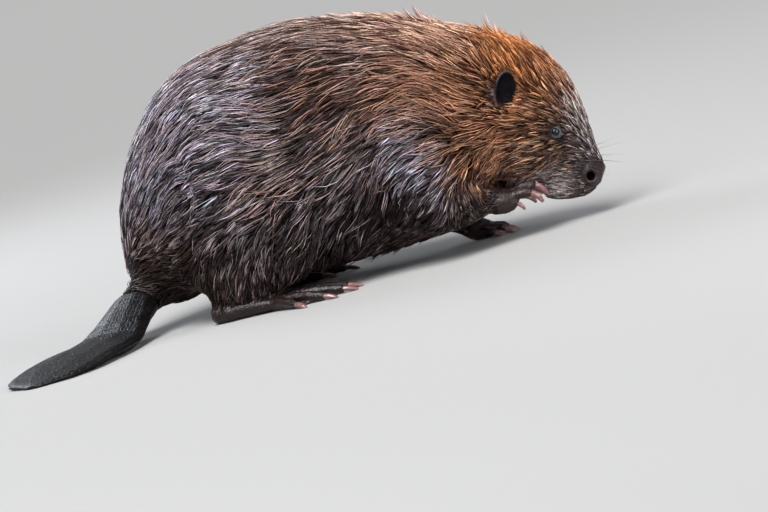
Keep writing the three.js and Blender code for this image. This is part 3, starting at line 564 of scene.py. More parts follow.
def wrinkled(v, paws):
    """How deep the creases of the paws are at each point: valleys along the zero lines of two wavy fields."""
    x, y, z = v.T
    wave = np.sin(0.95 * x + 1.4 * np.sin(0.5 * z) + 0.8 * np.sin(0.43 * y))
    cross = np.sin(0.72 * z - 0.4 * x + 1.2 * np.sin(0.55 * y + 0.3 * x))
    valley = (1 - np.abs(wave)) ** 4 + 0.6 * (1 - np.abs(cross)) ** 4
    return paws * np.minimum(valley, 1)


def flattened(lie, n):
    """Headings laid along the skin."""
    return unit(lie - (lie * n).sum(1, keepdims=True) * n)


def mixed_stations(v, n):
    """The stations' values at each point of the skin, each station counting for more the nearer it is."""
    places, values = [], []
    for name, station in STATIONS.items():
        place, lie, depth, length, width, pull, dark, light, light_share, *sides = station
        stand = STAND.get(name, STAND_ELSEWHERE)
        strands = STRANDS.get(name, STRANDS_ELSEWHERE)
        rest = (depth, length, width, pull, *dark, *light, light_share, stand, strands)
        for side in sides or ([LEFT] if place[1] == 0 else [RIGHT, LEFT]):
            places.append(on_side(place, side))
            values.append((*on_side(lie, side), *rest))
    places, values = np.array(places, float), np.array(values, float)
    out = np.empty((len(v), values.shape[1]))
    for start in range(0, len(v), CHUNK):
        part = v[start : start + CHUNK]
        away = ((part[:, None, :] - places[None]) ** 2).sum(2)
        weight = 1 / (away + BLEND_NEAR) ** BLEND_POWER
        out[start : start + CHUNK] = (weight / weight.sum(1, keepdims=True)) @ values
    return {
        "lie": flattened(out[:, :3], n), "depth": out[:, 3], "length": out[:, 4], "width": out[:, 5],
        "pull": out[:, 6], "dark": out[:, 7:10], "light": out[:, 10:13], "share": out[:, 13],
        "stand": out[:, 14], "strands": out[:, 15],
    }


def build_skin():
    """The fine skin inside the solids, and what the coat needs to know at each of its vertices."""
    solid_v, solid_t, solid_label = solids()
    skin = mesh_object("skin", solid_v, solid_t)
    apply(skin, "REMESH", mode="VOXEL", voxel_size=VOXEL / 1000, use_smooth_shade=True)
    v, t = arrays(skin.data)
    label = labelled(v, solid_v, solid_t, solid_label)
    pairs = edges(t)

    fine = share(BARE, 6, label, pairs)
    face = share(["head", "nose"], 6, label, pairs) * smoothstep(175, 225, v[:, 0])
    soft = np.clip(1 - fine - 0.75 * face, 0.0, 1)
    v = relaxed(v, pairs, SMOOTHING, 0.6 * soft)
    for _ in range(SMALL_SMOOTHING):
        v = relaxed(v, pairs, 1, 0.5 * (1 - soft))
        v = relaxed(v, pairs, 1, -0.5 * (1 - soft))
    v = relaxed(v, pairs, 3, 0.5)
    for side in SIDES.values():
        v = cup_ear(v, side)

    # The skin goes in by the coat's depth, which fades out at the bare parts, and gets its folds and face.
    n = normals(v, t)
    bare = np.maximum(share(BARE, 4, label, pairs), on_nose(v))
    coat = mixed_stations(v, n)
    coat["depth"] = relaxed((coat["depth"] * (1 - bare))[:, None], pairs, 12, 0.5)[:, 0]
    # Painted shade for the hair in the folds.
    push, coat["shade"] = folded(v, n)
    v = v + n * (push - coat["depth"])[:, None]
    v = relaxed(v, pairs, 4, 0.5 * soft)
    v = face_detail(v, normals(v, t))
    coat["crease"] = wrinkled(v, share(PAWS, 6, label, pairs))
    v = v - CREASE * coat["crease"][:, None] * normals(v, t)
    v[:, 2] = np.maximum(v[:, 2], FLOOR_GAP)
    n = normals(v, t)
    coat["lie"] = flattened(coat["lie"], n)
    coat["bare"] = bare
    move(skin.data, v)
    skin.data.update()
    return skin, v, t, n, label, pairs, coat


def thin_skin():
    """Takes most facets from the skin where the coat hides it."""
    furred = skin.vertex_groups.new(name="furred")
    hidden = (1 - coat["bare"]) * smoothstep(2.0, 5.0, coat["depth"])
    for level in np.linspace(0.1, 1.0, 10):
        furred.add(np.nonzero(np.round(hidden, 1) == round(level, 1))[0].tolist(), float(level), "REPLACE")
    apply(skin, "DECIMATE", ratio=SKIN_FACETS / len(skin_t), vertex_group="furred")


skin, skin_v, skin_t, skin_n, skin_label, skin_pairs, coat = build_skin()
print("skin", len(skin_v), "vertices", len(skin_t), "triangles")
thin_skin()
print("thinned to", len(skin.data.polygons))

# ---- materials


class Nodes:
    """A material's node tree, with short calls for its nodes and links."""

    def __init__(self, name):
        self.material = bpy.data.materials.new(name)
        self.material.use_nodes = True
        self.tree = self.material.node_tree
        self.shader = self.tree.nodes["Principled BSDF"]

    def fill(self, socket, value):
        if isinstance(value, bpy.types.NodeSocket):
            self.tree.links.new(value, socket)
        else:
            socket.default_value = value

    def add(self, kind, inputs, **settings):
        node = self.tree.nodes.new("ShaderNode" + kind)
        for key, value in settings.items():
            setattr(node, key, value)
        for key, value in inputs.items():
            self.fill(node.inputs[key], value)
        return node

    def set(self, **inputs):
        for key, value in inputs.items():
            self.fill(self.shader.inputs[key.replace("_", " ")], value)

    def attribute(self, name):
        return self.add("Attribute", {}, attribute_name=name).outputs

    def place(self):
        return self.add("NewGeometry", {}).outputs["Position"]

    def math(self, operation, a, b):
        return self.add("Math", {0: a, 1: b}, operation=operation).outputs[0]

    def times(self, colour, amount):
        return self.add("VectorMath", {0: colour, 1: amount}, operation="MULTIPLY").outputs["Vector"]

    def noise(self, place, scale, detail, distortion=0.0):
        inputs = {"Vector": place, "Scale": scale, "Detail": detail, "Distortion": distortion}
        return self.add("TexNoise", inputs).outputs["Fac"]

    def cells(self, place, scale, randomness=1.0):
        """Distance to the edge of each cell."""
        inputs = {"Vector": place, "Scale": scale, "Randomness": randomness}
        return self.add("TexVoronoi", inputs, feature="DISTANCE_TO_EDGE").outputs["Distance"]

    def ranged(self, value, low, high, to_low, to_high):
        """A number from one range, in another."""
        inputs = {"Value": value, "From Min": low, "From Max": high, "To Min": to_low, "To Max": to_high}
        return self.add("MapRange", inputs).outputs["Result"]

    def bump(self, height, strength, distance):
        inputs = {"Height": height, "Strength": strength, "Distance": distance}
        return self.add("Bump", inputs).outputs["Normal"]

    def ramp(self, value, stops):
        """Colours by value; the stops are values and their colours, in order."""
        node = self.add("ValToRGB", {"Fac": value})
        elements = node.color_ramp.elements
        elements[0].position, elements[1].position = stops[0][0], stops[-1][0]
        for place, _ in stops[1:-1]:
            elements.new(place)
        for element, (_, colour) in zip(elements, stops):
            element.color = (*colour, 1)
        return node.outputs["Color"]


def coat_material(name, roughness):
    """Hair of the attribute "coat": its colour, and in its alpha how wet it shines."""
    m = Nodes(name)
    hair = m.attribute("coat")
    mottle = m.ranged(m.noise(m.place(), 420.0, 2.0), 0.3, 0.7, 0.65, 1.35)
    m.set(
        Base_Color=m.times(hair["Color"], mottle), Roughness=roughness,
        Specular_IOR_Level=m.ranged(hair["Alpha"], 0, 1, 0.03, 0.85),
        Coat_Weight=m.ranged(hair["Alpha"], 0, 1, 0.0, 0.5), Coat_Roughness=0.22,
    )
    return m.material


def skin_material():
    """Scales on the tail, pebbles off it, fine folds all over, and broad wrinkles on the paws.

    The attribute "coat" is the colour. "kind" holds the share of tail, the share of paw, and the gloss.
    """
    m = Nodes("skin")
    kind = m.add("SeparateColor", {"Color": m.attribute("kind")["Color"]}).outputs
    tail, paw, gloss = kind["Red"], kind["Green"], kind["Blue"]
    place = m.place()
    turn = (0, 0, math.radians(TAIL_TURN))
    along = m.add("Mapping", {"Vector": place, "Rotation": turn}).outputs["Vector"]
    along = m.add("Mapping", {"Vector": along, "Scale": TAIL_SCALES}).outputs["Vector"]
    scales = m.ranged(m.cells(along, 1.0, 0.45), 0, 0.16, 0, 0.55)
    pebbles = m.ranged(m.cells(place, 420.0), 0, 0.3, 0, 1)
    pebbles = m.math("MULTIPLY", pebbles, m.math("SUBTRACT", 1.0, tail))
    relief = m.math("ADD", m.math("MULTIPLY", scales, tail), m.math("MULTIPLY", pebbles, 0.35))
    relief = m.math("ADD", m.noise(place, 230.0, 6.0, 0.8), relief)
    wrinkles = m.math("MULTIPLY", m.noise(place, 95.0, 3.0, 1.6), paw)
    relief = m.math("ADD", relief, m.math("MULTIPLY", wrinkles, 3.0))
    mottle = m.noise(place, 90.0, 6.0)
    colour = m.times(m.attribute("coat")["Color"], m.ranged(mottle, 0.3, 0.7, 0.7, 1.4))
    # Painted shade: the colour darkens where the relief is low, in the grooves between the tail's scales,
    # round the pebbles and in the paws' wrinkles.
    colour = m.times(colour, m.ranged(relief, 0.3, 0.9, 0.55, 1.1))
    m.set(
        Base_Color=colour, Roughness=m.ranged(mottle, 0.3, 0.7, 0.24, 0.44),
        Specular_IOR_Level=m.math("MULTIPLY", m.ranged(tail, 0, 1, 0.22, 0.1), gloss),
        Coat_Weight=m.math("MULTIPLY", m.ranged(tail, 0, 1, 0.22, 0.08), gloss), Coat_Roughness=0.2,
        Normal=m.bump(relief, 0.8, 0.0009),
    )
    return m.material


def streaked(name, colour, roughness, scale=300.0):
    """A bare surface with fine darker and lighter streaks."""
    m = Nodes(name)
    streak = m.noise(m.place(), scale, 4.0)
    dark, light = ([min(1, c * factor) for c in colour] for factor in (0.6, 1.35))
    m.set(
        Base_Color=m.ramp(streak, [(0.3, dark), (0.7, light)]), Roughness=roughness,
        Normal=m.bump(streak, 0.35, 0.0003), Coat_Weight=0.4, Coat_Roughness=0.12,
    )
    return m.material


def eye_material():
    """A black pupil, a streaked lilac-grey ring with a dark edge, and a brown white of the eye.

    The attribute "angle" holds the angle from the line of sight over 180 degrees, and the way round it.
    """
    m = Nodes("eye")
    parts = m.add("SeparateColor", {"Color": m.attribute("angle")["Color"]}).outputs
    around = m.add("CombineXYZ", {"X": parts["Green"], "Y": parts["Blue"], "Z": 0.0}).outputs["Vector"]
    wobble = m.ranged(m.noise(around, 26.0, 3.0), 0, 1, -0.008, 0.008)
    colour = m.ramp(m.math("ADD", parts["Red"], wobble), [
        (0.0, (0.002, 0.002, 0.003)), (0.165, (0.0015, 0.0015, 0.002)), (0.185, (0.05, 0.06, 0.08)),
        (0.22, (0.10, 0.112, 0.14)), (0.27, (0.085, 0.09, 0.11)), (0.295, (0.008, 0.008, 0.010)),
        (0.33, (0.02, 0.014, 0.012)),
    ])
    m.set(Base_Color=colour, Roughness=0.3, Specular_IOR_Level=0.1, Coat_Weight=0.6, Coat_Roughness=0.03)
    return m.material


COAT_RED = coat_material("coat_red", 0.42)
COAT_DARK = coat_material("coat_dark", 0.36)

# ---- the coat


class Finder:
    """The nearest of some places to each of many points, by its index."""

    def __init__(self, places):
        self.tree = kdtree.KDTree(len(places))
        for i, p in enumerate(places.tolist()):
            self.tree.insert(p, i)
        self.tree.balance()

    def __call__(self, points):
        find = self.tree.find
        return np.fromiter((find(p)[1] for p in points.tolist()), np.int64, len(points))


finder = Finder(skin_v)


def scattered(weight, count):
    """Points spread over the skin by the weight at its vertices, a vertex by each, and the whole weight."""
    corners = skin_v[skin_t]
    area = np.linalg.norm(np.cross(corners[:, 1] - corners[:, 0], corners[:, 2] - corners[:, 0]), axis=1) / 2
    total = np.cumsum(area * weight[skin_t].mean(1))
    ticks = (np.arange(count) + RANDOM.random(count)) / count * total[-1]
    face = np.searchsorted(total, ticks).clip(0, len(skin_t) - 1)
    a, b = RANDOM.random((2, count))
    over = a + b > 1
    a, b = np.where(over, 1 - a, a), np.where(over, 1 - b, b)
    c = corners[face]
    points = c[:, 0] + a[:, None] * (c[:, 1] - c[:, 0]) + b[:, None] * (c[:, 2] - c[:, 0])
    return points, skin_t[face, 0], total[-1]


def combed(roots, near, length, spread, steps):
    """Points along each lock, laid over the skin, with the skin's normal and the coat's depth there."""
    turn = RANDOM.normal(0, spread, len(roots))
    place, out, up, depth = roots, [roots], [skin_n[near]], [coat["depth"][near]]
    for k in range(1, len(steps)):
        lie, n = coat["lie"][near], skin_n[near]
        side = np.cross(n, lie)
        along = unit(lie * np.cos(turn)[:, None] + side * np.sin(turn)[:, None])
        straight = place + along * (length * (steps[k] - steps[k - 1]))[:, None]
        near = finder(straight)
        n = skin_n[near]
        hang = smoothstep(*HANGING, straight[:, 2]) * smoothstep(-0.5, -0.8, along[:, 2])
        over = ((straight - skin_v[near]) * n).sum(1) * (0.85 - 0.5 * hang)
        place = straight - n * over[:, None]
        out.append(place)
        up.append(n)
        depth.append(coat["depth"][near])
    return np.stack(out, 1), np.stack(up, 1), np.stack(depth, 1)


def kept_length(points):
    """How much of its length a lock keeps: all of it, and less at an ear."""
    away = np.ones(len(points))
    for side in SIDES.values():
        out, radius, _ = in_ear(points, side, (6, 14, 4))
        away = np.minimum(away, smoothstep(0.75, 1.5, np.hypot(out, radius)))
    return 0.35 + 0.65 * away


def hairiness():
    """How much hair the skin bears at each vertex, from none on bare skin to 1."""
    hairy = np.clip(1 - 1.6 * coat["bare"], 0, 1) * (coat["depth"] > 0.4)
    for side in SIDES.values():
        away = np.linalg.norm(skin_v - on_side(EYE, side), axis=1)
        hairy *= smoothstep(EYE_RADIUS - 0.3, EYE_RADIUS + 1.4, away)
    return hairy


def tufts(count, kind, thick):
    """Locks of one layer: centre lines, normals, nearest vertices of the roots, widths and tones."""
    layer = LAYERS[kind]
    steps = layer["steps"]
    points, near, _ = scattered(thick, count)
    clump_at, clump_near, _ = scattered(thick, count // layer["clump"])
    mine = Finder(clump_at)(points)
    clumps = len(clump_at)
    width = coat["width"][near] * RANDOM.uniform(0.7, 1.3, count) * layer["wide"]
    length = coat["length"][near] * RANDOM.uniform(0.75, 1.15, count) * (kept_length(points) * layer["long"])
    line, up, depth = combed(points, near, length, layer["stray"], steps)
    clump_length = coat["length"][clump_near] * kept_length(clump_at) * layer["long"]
    clump_line, _, _ = combed(clump_at, clump_near, clump_length, layer["stray"], steps)

    # Each lock is drawn towards its clump's own line, and waves the way that its clump does.
    apart = np.linalg.norm(points - clump_at[mine], axis=1) / (coat["width"][near] * COVER)
    edge = np.clip(apart / (0.9 * math.sqrt(layer["clump"] / layer["share"] / math.pi)), 0, 1)
    drawn = coat["pull"][near][:, None] * (steps**1.25)[None]
    line = line + (clump_line[mine] - line) * drawn[:, :, None]
    across = unit(np.cross(np.gradient(line, axis=1), up))
    phase = RANDOM.uniform(0, 2 * math.pi, clumps)[mine] + RANDOM.normal(0, 0.5, count)
    swing = np.sin(2 * math.pi * length[:, None] * steps[None] / WAVE + phase[:, None]) * steps[None] ** 0.7
    line = line + across * (swing * SWING * np.minimum(length / WAVY, 1)[:, None])[:, :, None]

    # It rises from the skin to its level in the coat, lower at the clump's edge, and its tip may stand off.
    level = RANDOM.uniform(*layer["level"], count) * (1 - 0.3 * edge)
    top = level[:, None] * np.minimum(1, steps * 2.6)[None] ** 0.8
    if kind != "under":
        rise = (RANDOM.random(clumps) ** 3)[mine] * RANDOM.uniform(0.5, 1, count)
        top[:, -1] += coat["stand"][near] * (1.5 * rise + 0.1)
        top[:, -2] += coat["stand"][near] * (0.5 * rise + 0.1)
    depth = 0.85 * depth + 0.15 * depth[:, :1]
    line = line + up * (depth * top)[:, :, None]
    line[:, 0] -= up[:, 0] * ROOT_SINK

    # Tones run from dark at 0 to light at 1. Guard locks are lit or unlit by the clump, and darker towards its
    # edge, as painted shade in the gaps between clumps.
    if kind == "under":
        tone = RANDOM.uniform(-0.05, 0.2, count)
    elif kind == "strand":
        tone = RANDOM.uniform(0.1, 1.1, count)
    else:
        lit = RANDOM.random(clumps) < 1.25 * coat["share"][clump_near]
        clump_tone = np.where(lit, RANDOM.uniform(0.55, 1.35, clumps), RANDOM.uniform(0.01, 0.24, clumps))
        tone = RANDOM.uniform(0.25, 1.1, count) * np.where(RANDOM.random(count) < 0.72, 1, 0.15)
        # Painted shade towards the clump's edge.
        tone *= clump_tone[mine] * (1.25 - 0.85 * edge)
    # The tones are darkened by the folds' painted shade.
    return line, up, near, width, tone * (1 - 0.75 * coat["shade"][near])


def lock_mesh(name, line, up, width, colours, steps):
    """Closed three-sided locks along the lines, each with a patch in OFBake at its root's place."""
    n, k = line.shape[:2]
    along = unit(np.gradient(line, axis=1))
    across = unit(np.cross(along, up))
    lift = np.cross(across, along)
    taper = 1 - 0.25 * (1 - np.minimum(steps / 0.3, 1)) - 0.45 * np.clip((steps - 0.5) / 0.5, 0, 1) ** 1.5
    half = width[:, None] * taper[None] / 2
    rings = []
    for sideways, upwards in LOCK_SECTION:
        rings.append(line + across * (half * sideways)[:, :, None] + lift * (half * upwards)[:, :, None])
    ring = np.stack(rings, 2)[:, : k - 1].reshape(n, 3 * (k - 1), 3)
    v = np.concatenate([ring, line[:, -1:]], 1)
    size = v.shape[1]
    pattern = [(0, 1, 2)]
    for level in range(k - 2):
        a = 3 * level
        for i in range(3):
            j = (i + 1) % 3
            pattern += [(a + i, a + 3 + i, a + 3 + j), (a + i, a + 3 + j, a + j)]
    top = 3 * (k - 2)
    pattern += [(top + i, size - 1, top + (i + 1) % 3) for i in range(3)]
    pattern = np.array(pattern)[:, ::-1]
    faces = (np.arange(n)[:, None, None] * size + pattern[None]).reshape(-1, 3)
    piece = mesh_object(name, v.reshape(-1, 3), faces)
    tint = np.concatenate([np.repeat(colours[:, : k - 1], 3, axis=1), colours[:, -1:]], 1)
    paint(piece, "coat", tint.reshape(-1, 4))
    level = np.concatenate([np.repeat(steps[: k - 1], 3), [1.0]])
    around = np.concatenate([np.tile((0.0, 1.0, 0.5), k - 1), [0.5]])
    patch = np.stack([around, level], 1)[None] * UV_PATCH
    spots = (unwrapped(line[:, 0])[:, None] + patch).reshape(-1, 2)
    layer = piece.data.uv_layers.new(name="OFBake")
    layer.data.foreach_set("uv", spots[faces.ravel()].astype(np.float32).ravel())
    return piece


def unwrapped(points):
    """Each point's place on a sleeve round the animal, cut along the belly."""
    angle = np.arctan2(points[:, 1], points[:, 2] - SLEEVE_AXIS) / (2 * np.pi) + 0.5
    x = points[:, 0]
    along = (x - x.min()) / max(np.ptp(x), 1)
    return np.stack([0.002 + 0.993 * angle, 0.002 + 0.993 * along], 1)


def regions(points, label, kind):
    """The coat's piece for each root."""
    x, y, _ = points.T
    head = label == LABEL["head"]
    if kind == "guard":
        where = [head & (x > 196), head, x > 125, x > 60, x < -150, x < -30]
        names = ["guard_face", "guard_crown", "guard_neck", "guard_shoulder", "guard_rump", "guard_loin"]
        out = np.select(where, names, "guard_ribs")
    elif kind == "under":
        out = np.select([head, x > 60, x > -90], ["under_head", "under_neck", "under_ribs"], "under_rump")
    else:
        out = np.full(len(x), "strands")
    whole = np.isin(out, ["guard_crown", "guard_neck", "under_head"])
    return out.astype(object) + np.where(whole, "", np.where(y < 0, "_right", "_left")).astype(object)


def lock_colours(kind, near, mixed, tone):
    """Colour and shine at each ring of each lock. Its hues are those at the vertices mixed."""
    steps, count = LAYERS[kind]["steps"], len(near)
    dark, light = coat["dark"][mixed], coat["light"][mixed]
    if kind == "strand":
        copper = np.clip(0.8 * coat["strands"][near], 0, 0.7)[:, None]
        light = (1 - copper) * light + copper * np.array(RUST) * 1.2
    ginger = smoothstep(0.45, 0.8, 1 - coat["light"][near][:, 2] / coat["light"][near][:, 0])
    colour = np.maximum(dark + (light - dark) * tone[:, None], 0.003)
    colour *= RANDOM.uniform(0.88, 1.12, (count, 3)) * LAYERS[kind]["bright"]
    gradient = 0.3 + 0.6 * steps if kind == "under" else 0.2 + 1.1 * np.minimum(1, steps * 1.25)
    shine = np.clip(0.1 + 0.8 * tone, 0.05, 1) * RANDOM.uniform(0.4, 1.3, count) * (1 - 0.75 * ginger)
    shine = np.broadcast_to((shine * LAYERS[kind]["gloss"])[:, None, None], (count, len(steps), 1))
    return np.concatenate([colour[:, None, :] * gradient[None, :, None], shine], 2)


def build_coat():
    """The pieces of the coat, layer by layer."""
    thick = hairiness() / coat["width"] ** 2
    _, _, total = scattered(thick, 1000)
    made = 0
    for kind, layer in LAYERS.items():
        chance = thick * coat["strands"] if kind == "strand" else thick
        line, up, near, width, tone = tufts(int(total / COVER**2 * layer["share"]), kind, chance)
        roots = line[:, 0]
        blur = 0.6 * coat["length"][near][:, None] * RANDOM.normal(0, 1, roots.shape)
        colours = lock_colours(kind, near, finder(roots + blur), tone)
        where = regions(roots, skin_label[near], kind)
        for name in sorted(set(where)):
            here = where == name
            red = any(part in name for part in ("face", "crown", "head", "neck"))
            piece = lock_mesh(name, line[here], up[here], width[here], colours[here], layer["steps"])
            piece.data.materials.append(COAT_RED if red else COAT_DARK)
            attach(piece, "root")
            made += len(piece.data.polygons)
            print(name, int(here.sum()), "tufts", len(piece.data.polygons), "triangles")
    print("coat", made, "triangles")


build_coat()

# ---- the skin's colours


def skin_colours():
    """The coat's darker tones under the hair, and the bare skin of paws, tail, nose and ears, with painted
    shade in the paws' creases, along the lips and in the nostrils, and a painted highlight on the ears' rims.
    """
    bare = coat["dark"] * 0.4 + coat["light"] * 0.03
    for names, colour, rounds in BARE_TONES:
        amount = share(names, rounds, skin_label, skin_pairs)[:, None]
        bare = bare * (1 - amount) + np.array(colour) * amount
    # Painted shade in the creases of the paws.
    bare = bare * (1 - 0.65 * coat["crease"][:, None])
    pad = on_nose(skin_v)[:, None]
    bare = bare * (1 - pad) + NOSE_TONE * pad
    for side in SIDES.values():
        # Painted shade along the parted lips and in the hollows of the nostrils.
        black = np.maximum(hill(along_lips(skin_v, side) / 2.2), in_nostril(skin_v, side))[:, None]
        bare = bare * (1 - 0.9 * black)
        out, radius, _ = in_ear(skin_v, side)
        # A painted highlight along the rim of each ear.
        rim = hill((radius - 0.97) / 0.07) * (np.abs(out) < 1.3)
        bare = bare + rim[:, None] * EAR_RIM_HIGHLIGHT
    return bare


def paint_skin():
    """Colours, and which parts are tail or paw and how they shine, from the fine skin to the thinned one."""
    near = finder(arrays(skin.data)[0])
    paint(skin, "coat", skin_colours()[near])
    tail = share(["tail"], 2, skin_label, skin_pairs)
    paw = share(PAWS, 6, skin_label, skin_pairs)
    dull = 0.9 * share(EARS, 3, skin_label, skin_pairs)
    for side in SIDES.values():
        dull = np.maximum(dull, in_nostril(skin_v, side))
    paint(skin, "kind", np.stack([tail, paw, 1 - dull], 1)[near])


paint_skin()
skin.data.materials.clear()
skin.data.materials.append(skin_material())
round_off(skin.data)
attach(skin, "root")
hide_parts(*FLESH)

# ---- eyes, lids, whiskers and claws


def gaze_frame(side):
    """Centre of an eye, and its axes as columns: forwards, up and out along the line of sight."""
    out = unit(on_side(GAZE, side))
    up = unit(np.array((0, 0, 1.0)) - out[2] * out)
    ahead = np.cross(up, out) * -side
    return on_side(EYE, side), np.stack([unit(ahead), up, out], 1)


def globe(radius, tilt, turn):
    """Points in an eye's own frame, by the angle from the line of sight and the way round it."""
    flat, out = radius * np.sin(tilt), radius * np.cos(tilt)
    return np.stack([flat * np.cos(turn), flat * np.sin(turn), out + 0 * turn], -1)


def whole_turn(count):
    return np.arange(count) / count * 2 * math.pi


def ring_faces(rings, around, closed=False):
    """Triangles between successive rings of points, which close on themselves or have flat ends."""
    faces = []
    for r in range(rings if closed else rings - 1):
        a, b = r * around, ((r + 1) % rings) * around
        for i in range(around):
            j = (i + 1) % around
            faces += [(a + i, a + j, b + j), (a + i, b + j, b + i)]
    if not closed:
        last = (rings - 1) * around
        faces += [(0, i + 1, i) for i in range(1, around - 1)]
        faces += [(last, last + i, last + i + 1) for i in range(1, around - 1)]
    return np.array(faces)


def outward(v, faces):
    """Faces turned so that the closed shape's volume is over zero."""
    corners = v[faces]
    volume = (corners[:, 0] * np.cross(corners[:, 1], corners[:, 2])).sum()
    return faces if volume > 0 else faces[:, ::-1]


def eyeball(name, side):
    """A ball with a raised cornea; its colours are angles from the line of sight."""
    centre, axes = gaze_frame(side)
    tilt, turn = np.linspace(0.001, math.pi - 0.001, EYE_RINGS), whole_turn(EYE_POINTS)
    bulge, width = CORNEA
    radius = EYE_RADIUS * (1 + bulge * hill(tilt / width))
    ball = globe(radius[:, None], tilt[:, None], turn[None]).reshape(-1, 3)
    v = ball @ axes.T + centre
    piece = mesh_object(name, v, outward(v - centre, ring_faces(EYE_RINGS, EYE_POINTS)))
    swirl = np.tile(turn, EYE_RINGS)
    angle = np.repeat(tilt / math.pi, EYE_POINTS)
    paint(piece, "angle", np.stack([angle, 0.5 + 0.5 * np.cos(swirl), 0.5 + 0.5 * np.sin(swirl)], 1))
    return piece


def lids(name, side):
    """Both lids of an eye as one puckered ring, open in an almond."""
    centre, axes = gaze_frame(side)
    turn = whole_turn(LID_POINTS)
    narrow = 1 - 0.14 * np.abs(np.sin(turn)) ** 1.5
    front, back = np.cos(turn + 0.15 * math.pi), -np.cos(turn)
    corner = 9 * np.clip(front, 0, 1) ** 14 + 5 * np.clip(back, 0, 1) ** 14
    edge = LID_OPENING * narrow + corner
    pucker = 0.16 * np.sin(9 * turn) + 0.1 * np.sin(17 * turn + 1)
    rings = []
    for wider, radius in LID_PROFILE:
        r = radius + EYE_RADIUS - LID_EYE + (pucker if wider > 2 else 0)
        rings.append(globe(r, np.radians(edge + wider), turn))
    v = np.concatenate(rings) @ axes.T + centre
    return mesh_object(name, v, outward(v - centre, ring_faces(len(LID_PROFILE), LID_POINTS, closed=True)))


def hair_tube(points, radius, sides=5):
    """A closed tapering tube through points: vertices and triangles."""
    along = unit(np.gradient(points, axis=0))
    first = unit(np.cross(along, (0.1, 0.2, 1.0)))
    second = np.cross(along, first)
    turn = whole_turn(sides)
    taper = radius * (1 - np.linspace(0, 1, len(points)) ** 1.5 * 0.85)
    v = points[:, None] + taper[:, None, None] * (
        first[:, None] * np.cos(turn)[None, :, None] + second[:, None] * np.sin(turn)[None, :, None]
    )
    return v.reshape(-1, 3), ring_faces(len(points), sides)[:, ::-1]


def whiskers():
    """Long stiff hairs on the muzzle, over the eyes and on the cheeks, on both sides."""
    chance = np.random.default_rng(5)
    vs, fs, start = [], [], 0
    for side in SIDES.values():
        for middle, spread, number, heading, length, droop in WHISKER_BEDS:
            middle, heading = on_side(middle, side), unit(on_side(heading, side))
            for _ in range(number):
                root = middle + chance.uniform(-1, 1, 3) * spread
                root = skin_v[finder(root[None])[0]]
                way = unit(heading + on_side(chance.normal(0, 0.16, 3), side))
                s = np.linspace(0, 1, 7)[:, None]
                size = length * chance.uniform(0.5, 1.0)
                line = root + way * (size * s - 1.5) + np.array((0, 0, -1.0)) * droop * s**2
                v, f = hair_tube(line, chance.uniform(0.16, 0.24))
                vs.append(v)
                fs.append(f + start)
                start += len(v)
    piece = mesh_object("whiskers", np.concatenate(vs), np.concatenate(fs))
    piece.data.materials.append(streaked("whisker", (0.035, 0.022, 0.019), 0.35))
    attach(piece, "root")


def eyes():
    """An eyeball in place of each eye's solid, and its lids."""
    gloss, rim = eye_material(), streaked("lid", (0.009, 0.006, 0.0055), 0.4, 700.0)
    for word, side in SIDES.items():
        ball = eyeball("eyeball_" + word, side)
        ball.data.materials.append(gloss)
        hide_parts("eye_" + word)
        ring = lids("lids_" + word, side)
        ring.data.materials.append(rim)
        for piece in (ball, ring):
            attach(piece, "root")


def claws():
    """The solids' own claws, rounded and a little swollen."""
    horn = streaked("claw_horn", (0.17, 0.078, 0.070), 0.3, 260.0)
    for name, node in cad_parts.items():
        if not name.startswith("claw"):
            continue
        node.data.materials.clear()
        node.data.materials.append(horn)
        round_off(node.data)
        fine = node.modifiers.new("fine", "REMESH")
        fine.mode, fine.voxel_size, fine.use_smooth_shade = "VOXEL", 0.0005, True
        node.modifiers.new("round", "SMOOTH").iterations = 7
        full = node.modifiers.new("full", "DISPLACE")
        full.strength, full.mid_level = 0.0006, 0


eyes()
whiskers()
claws()

# ---- floor, light and camera


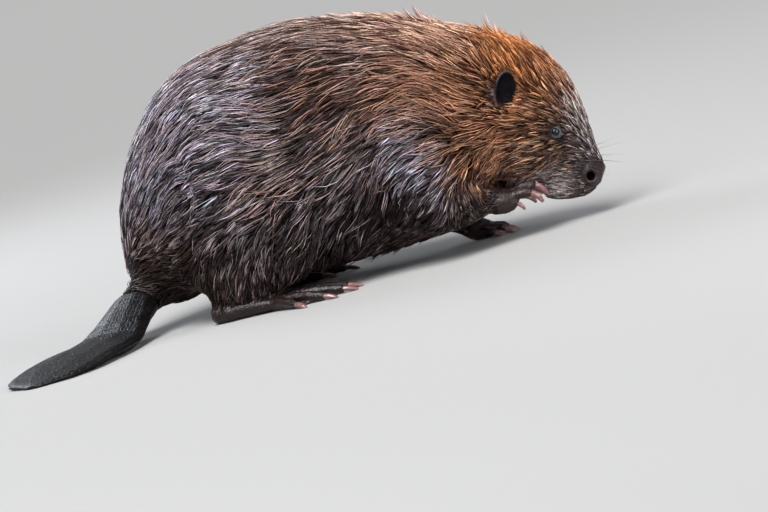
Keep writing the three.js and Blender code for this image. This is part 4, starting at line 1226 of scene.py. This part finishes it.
def stage():
    """A plain pale floor under the animal."""
    mesh = bpy.data.meshes.new("floor")
    far = FLOOR_SIDE / 2
    mesh.from_pydata([(-far, -far, 0), (far, -far, 0), (far, far, 0), (-far, far, 0)], [], [(0, 1, 2, 3)])
    floor = add_object("floor", mesh)
    floor.location.z = CAD_BOX[0][2] - 0.0002
    m = Nodes("floor")
    grain = m.add("TexNoise", {"Scale": 6.0, "Detail": 3.0}).outputs["Fac"]
    m.set(Base_Color=m.ramp(grain, [(0, (0.31, 0.30, 0.29)), (1, (0.34, 0.33, 0.32))]), Roughness=0.9)
    floor.data.materials.append(m.material)


def area_light(name, place, aim, size, power, colour, spread):
    data = bpy.data.lights.new(name, "AREA")
    data.shape = "RECTANGLE"
    data.size, data.size_y = size
    data.energy = power
    data.color = colour
    data.spread = math.radians(spread)
    lamp = add_object(name, data)
    lamp.location = place
    lamp.rotation_euler = (Vector(aim) - Vector(place)).to_track_quat("-Z", "Y").to_euler()


def lights():
    """A pale sky, a broad sun as through cloud, and the soft boxes."""
    world = bpy.data.worlds.new("studio")
    bpy.context.scene.world = world
    world.use_nodes = True
    sky = world.node_tree.nodes["Background"].inputs
    sky["Color"].default_value = (0.93, 0.95, 1.0, 1)
    sky["Strength"].default_value = 0.26
    sun = bpy.data.lights.new("overcast", "SUN")
    sun.energy = 5.0
    sun.angle = math.radians(38)
    sun.color = (0.96, 0.98, 1.0)
    lamp = add_object("overcast", sun)
    lamp.rotation_euler = (math.radians(28), math.radians(-14), 0)
    for light in LIGHTS:
        area_light(*light)


def camera():
    """The photograph's view: towards the picture's middle, from a little above, and rolled."""
    roll, lift = math.radians(CAMERA_ROLL), math.radians(CAMERA_LIFT)
    up0 = Vector((0, math.sin(lift), math.cos(lift)))
    back = Vector((0, -math.cos(lift), math.sin(lift)))
    right = math.cos(roll) * Vector((1, 0, 0)) - math.sin(roll) * up0
    up = math.sin(roll) * Vector((1, 0, 0)) + math.cos(roll) * up0
    data = bpy.data.cameras.new("camera")
    data.sensor_width = SENSOR
    data.lens = SENSOR * CAMERA_AWAY * 1000 / PICTURE_WIDTH
    data.clip_end = 100
    cam = add_object("camera", data)
    target = Vector(row(PICTURE_MIDDLE))
    turned = Matrix((right, up, back)).transposed().to_4x4()
    cam.matrix_world = Matrix.Translation(target + back * CAMERA_AWAY) @ turned
    bpy.context.scene.camera = cam


stage()
lights()
camera()
bpy.context.scene.view_settings.view_transform = "Standard"
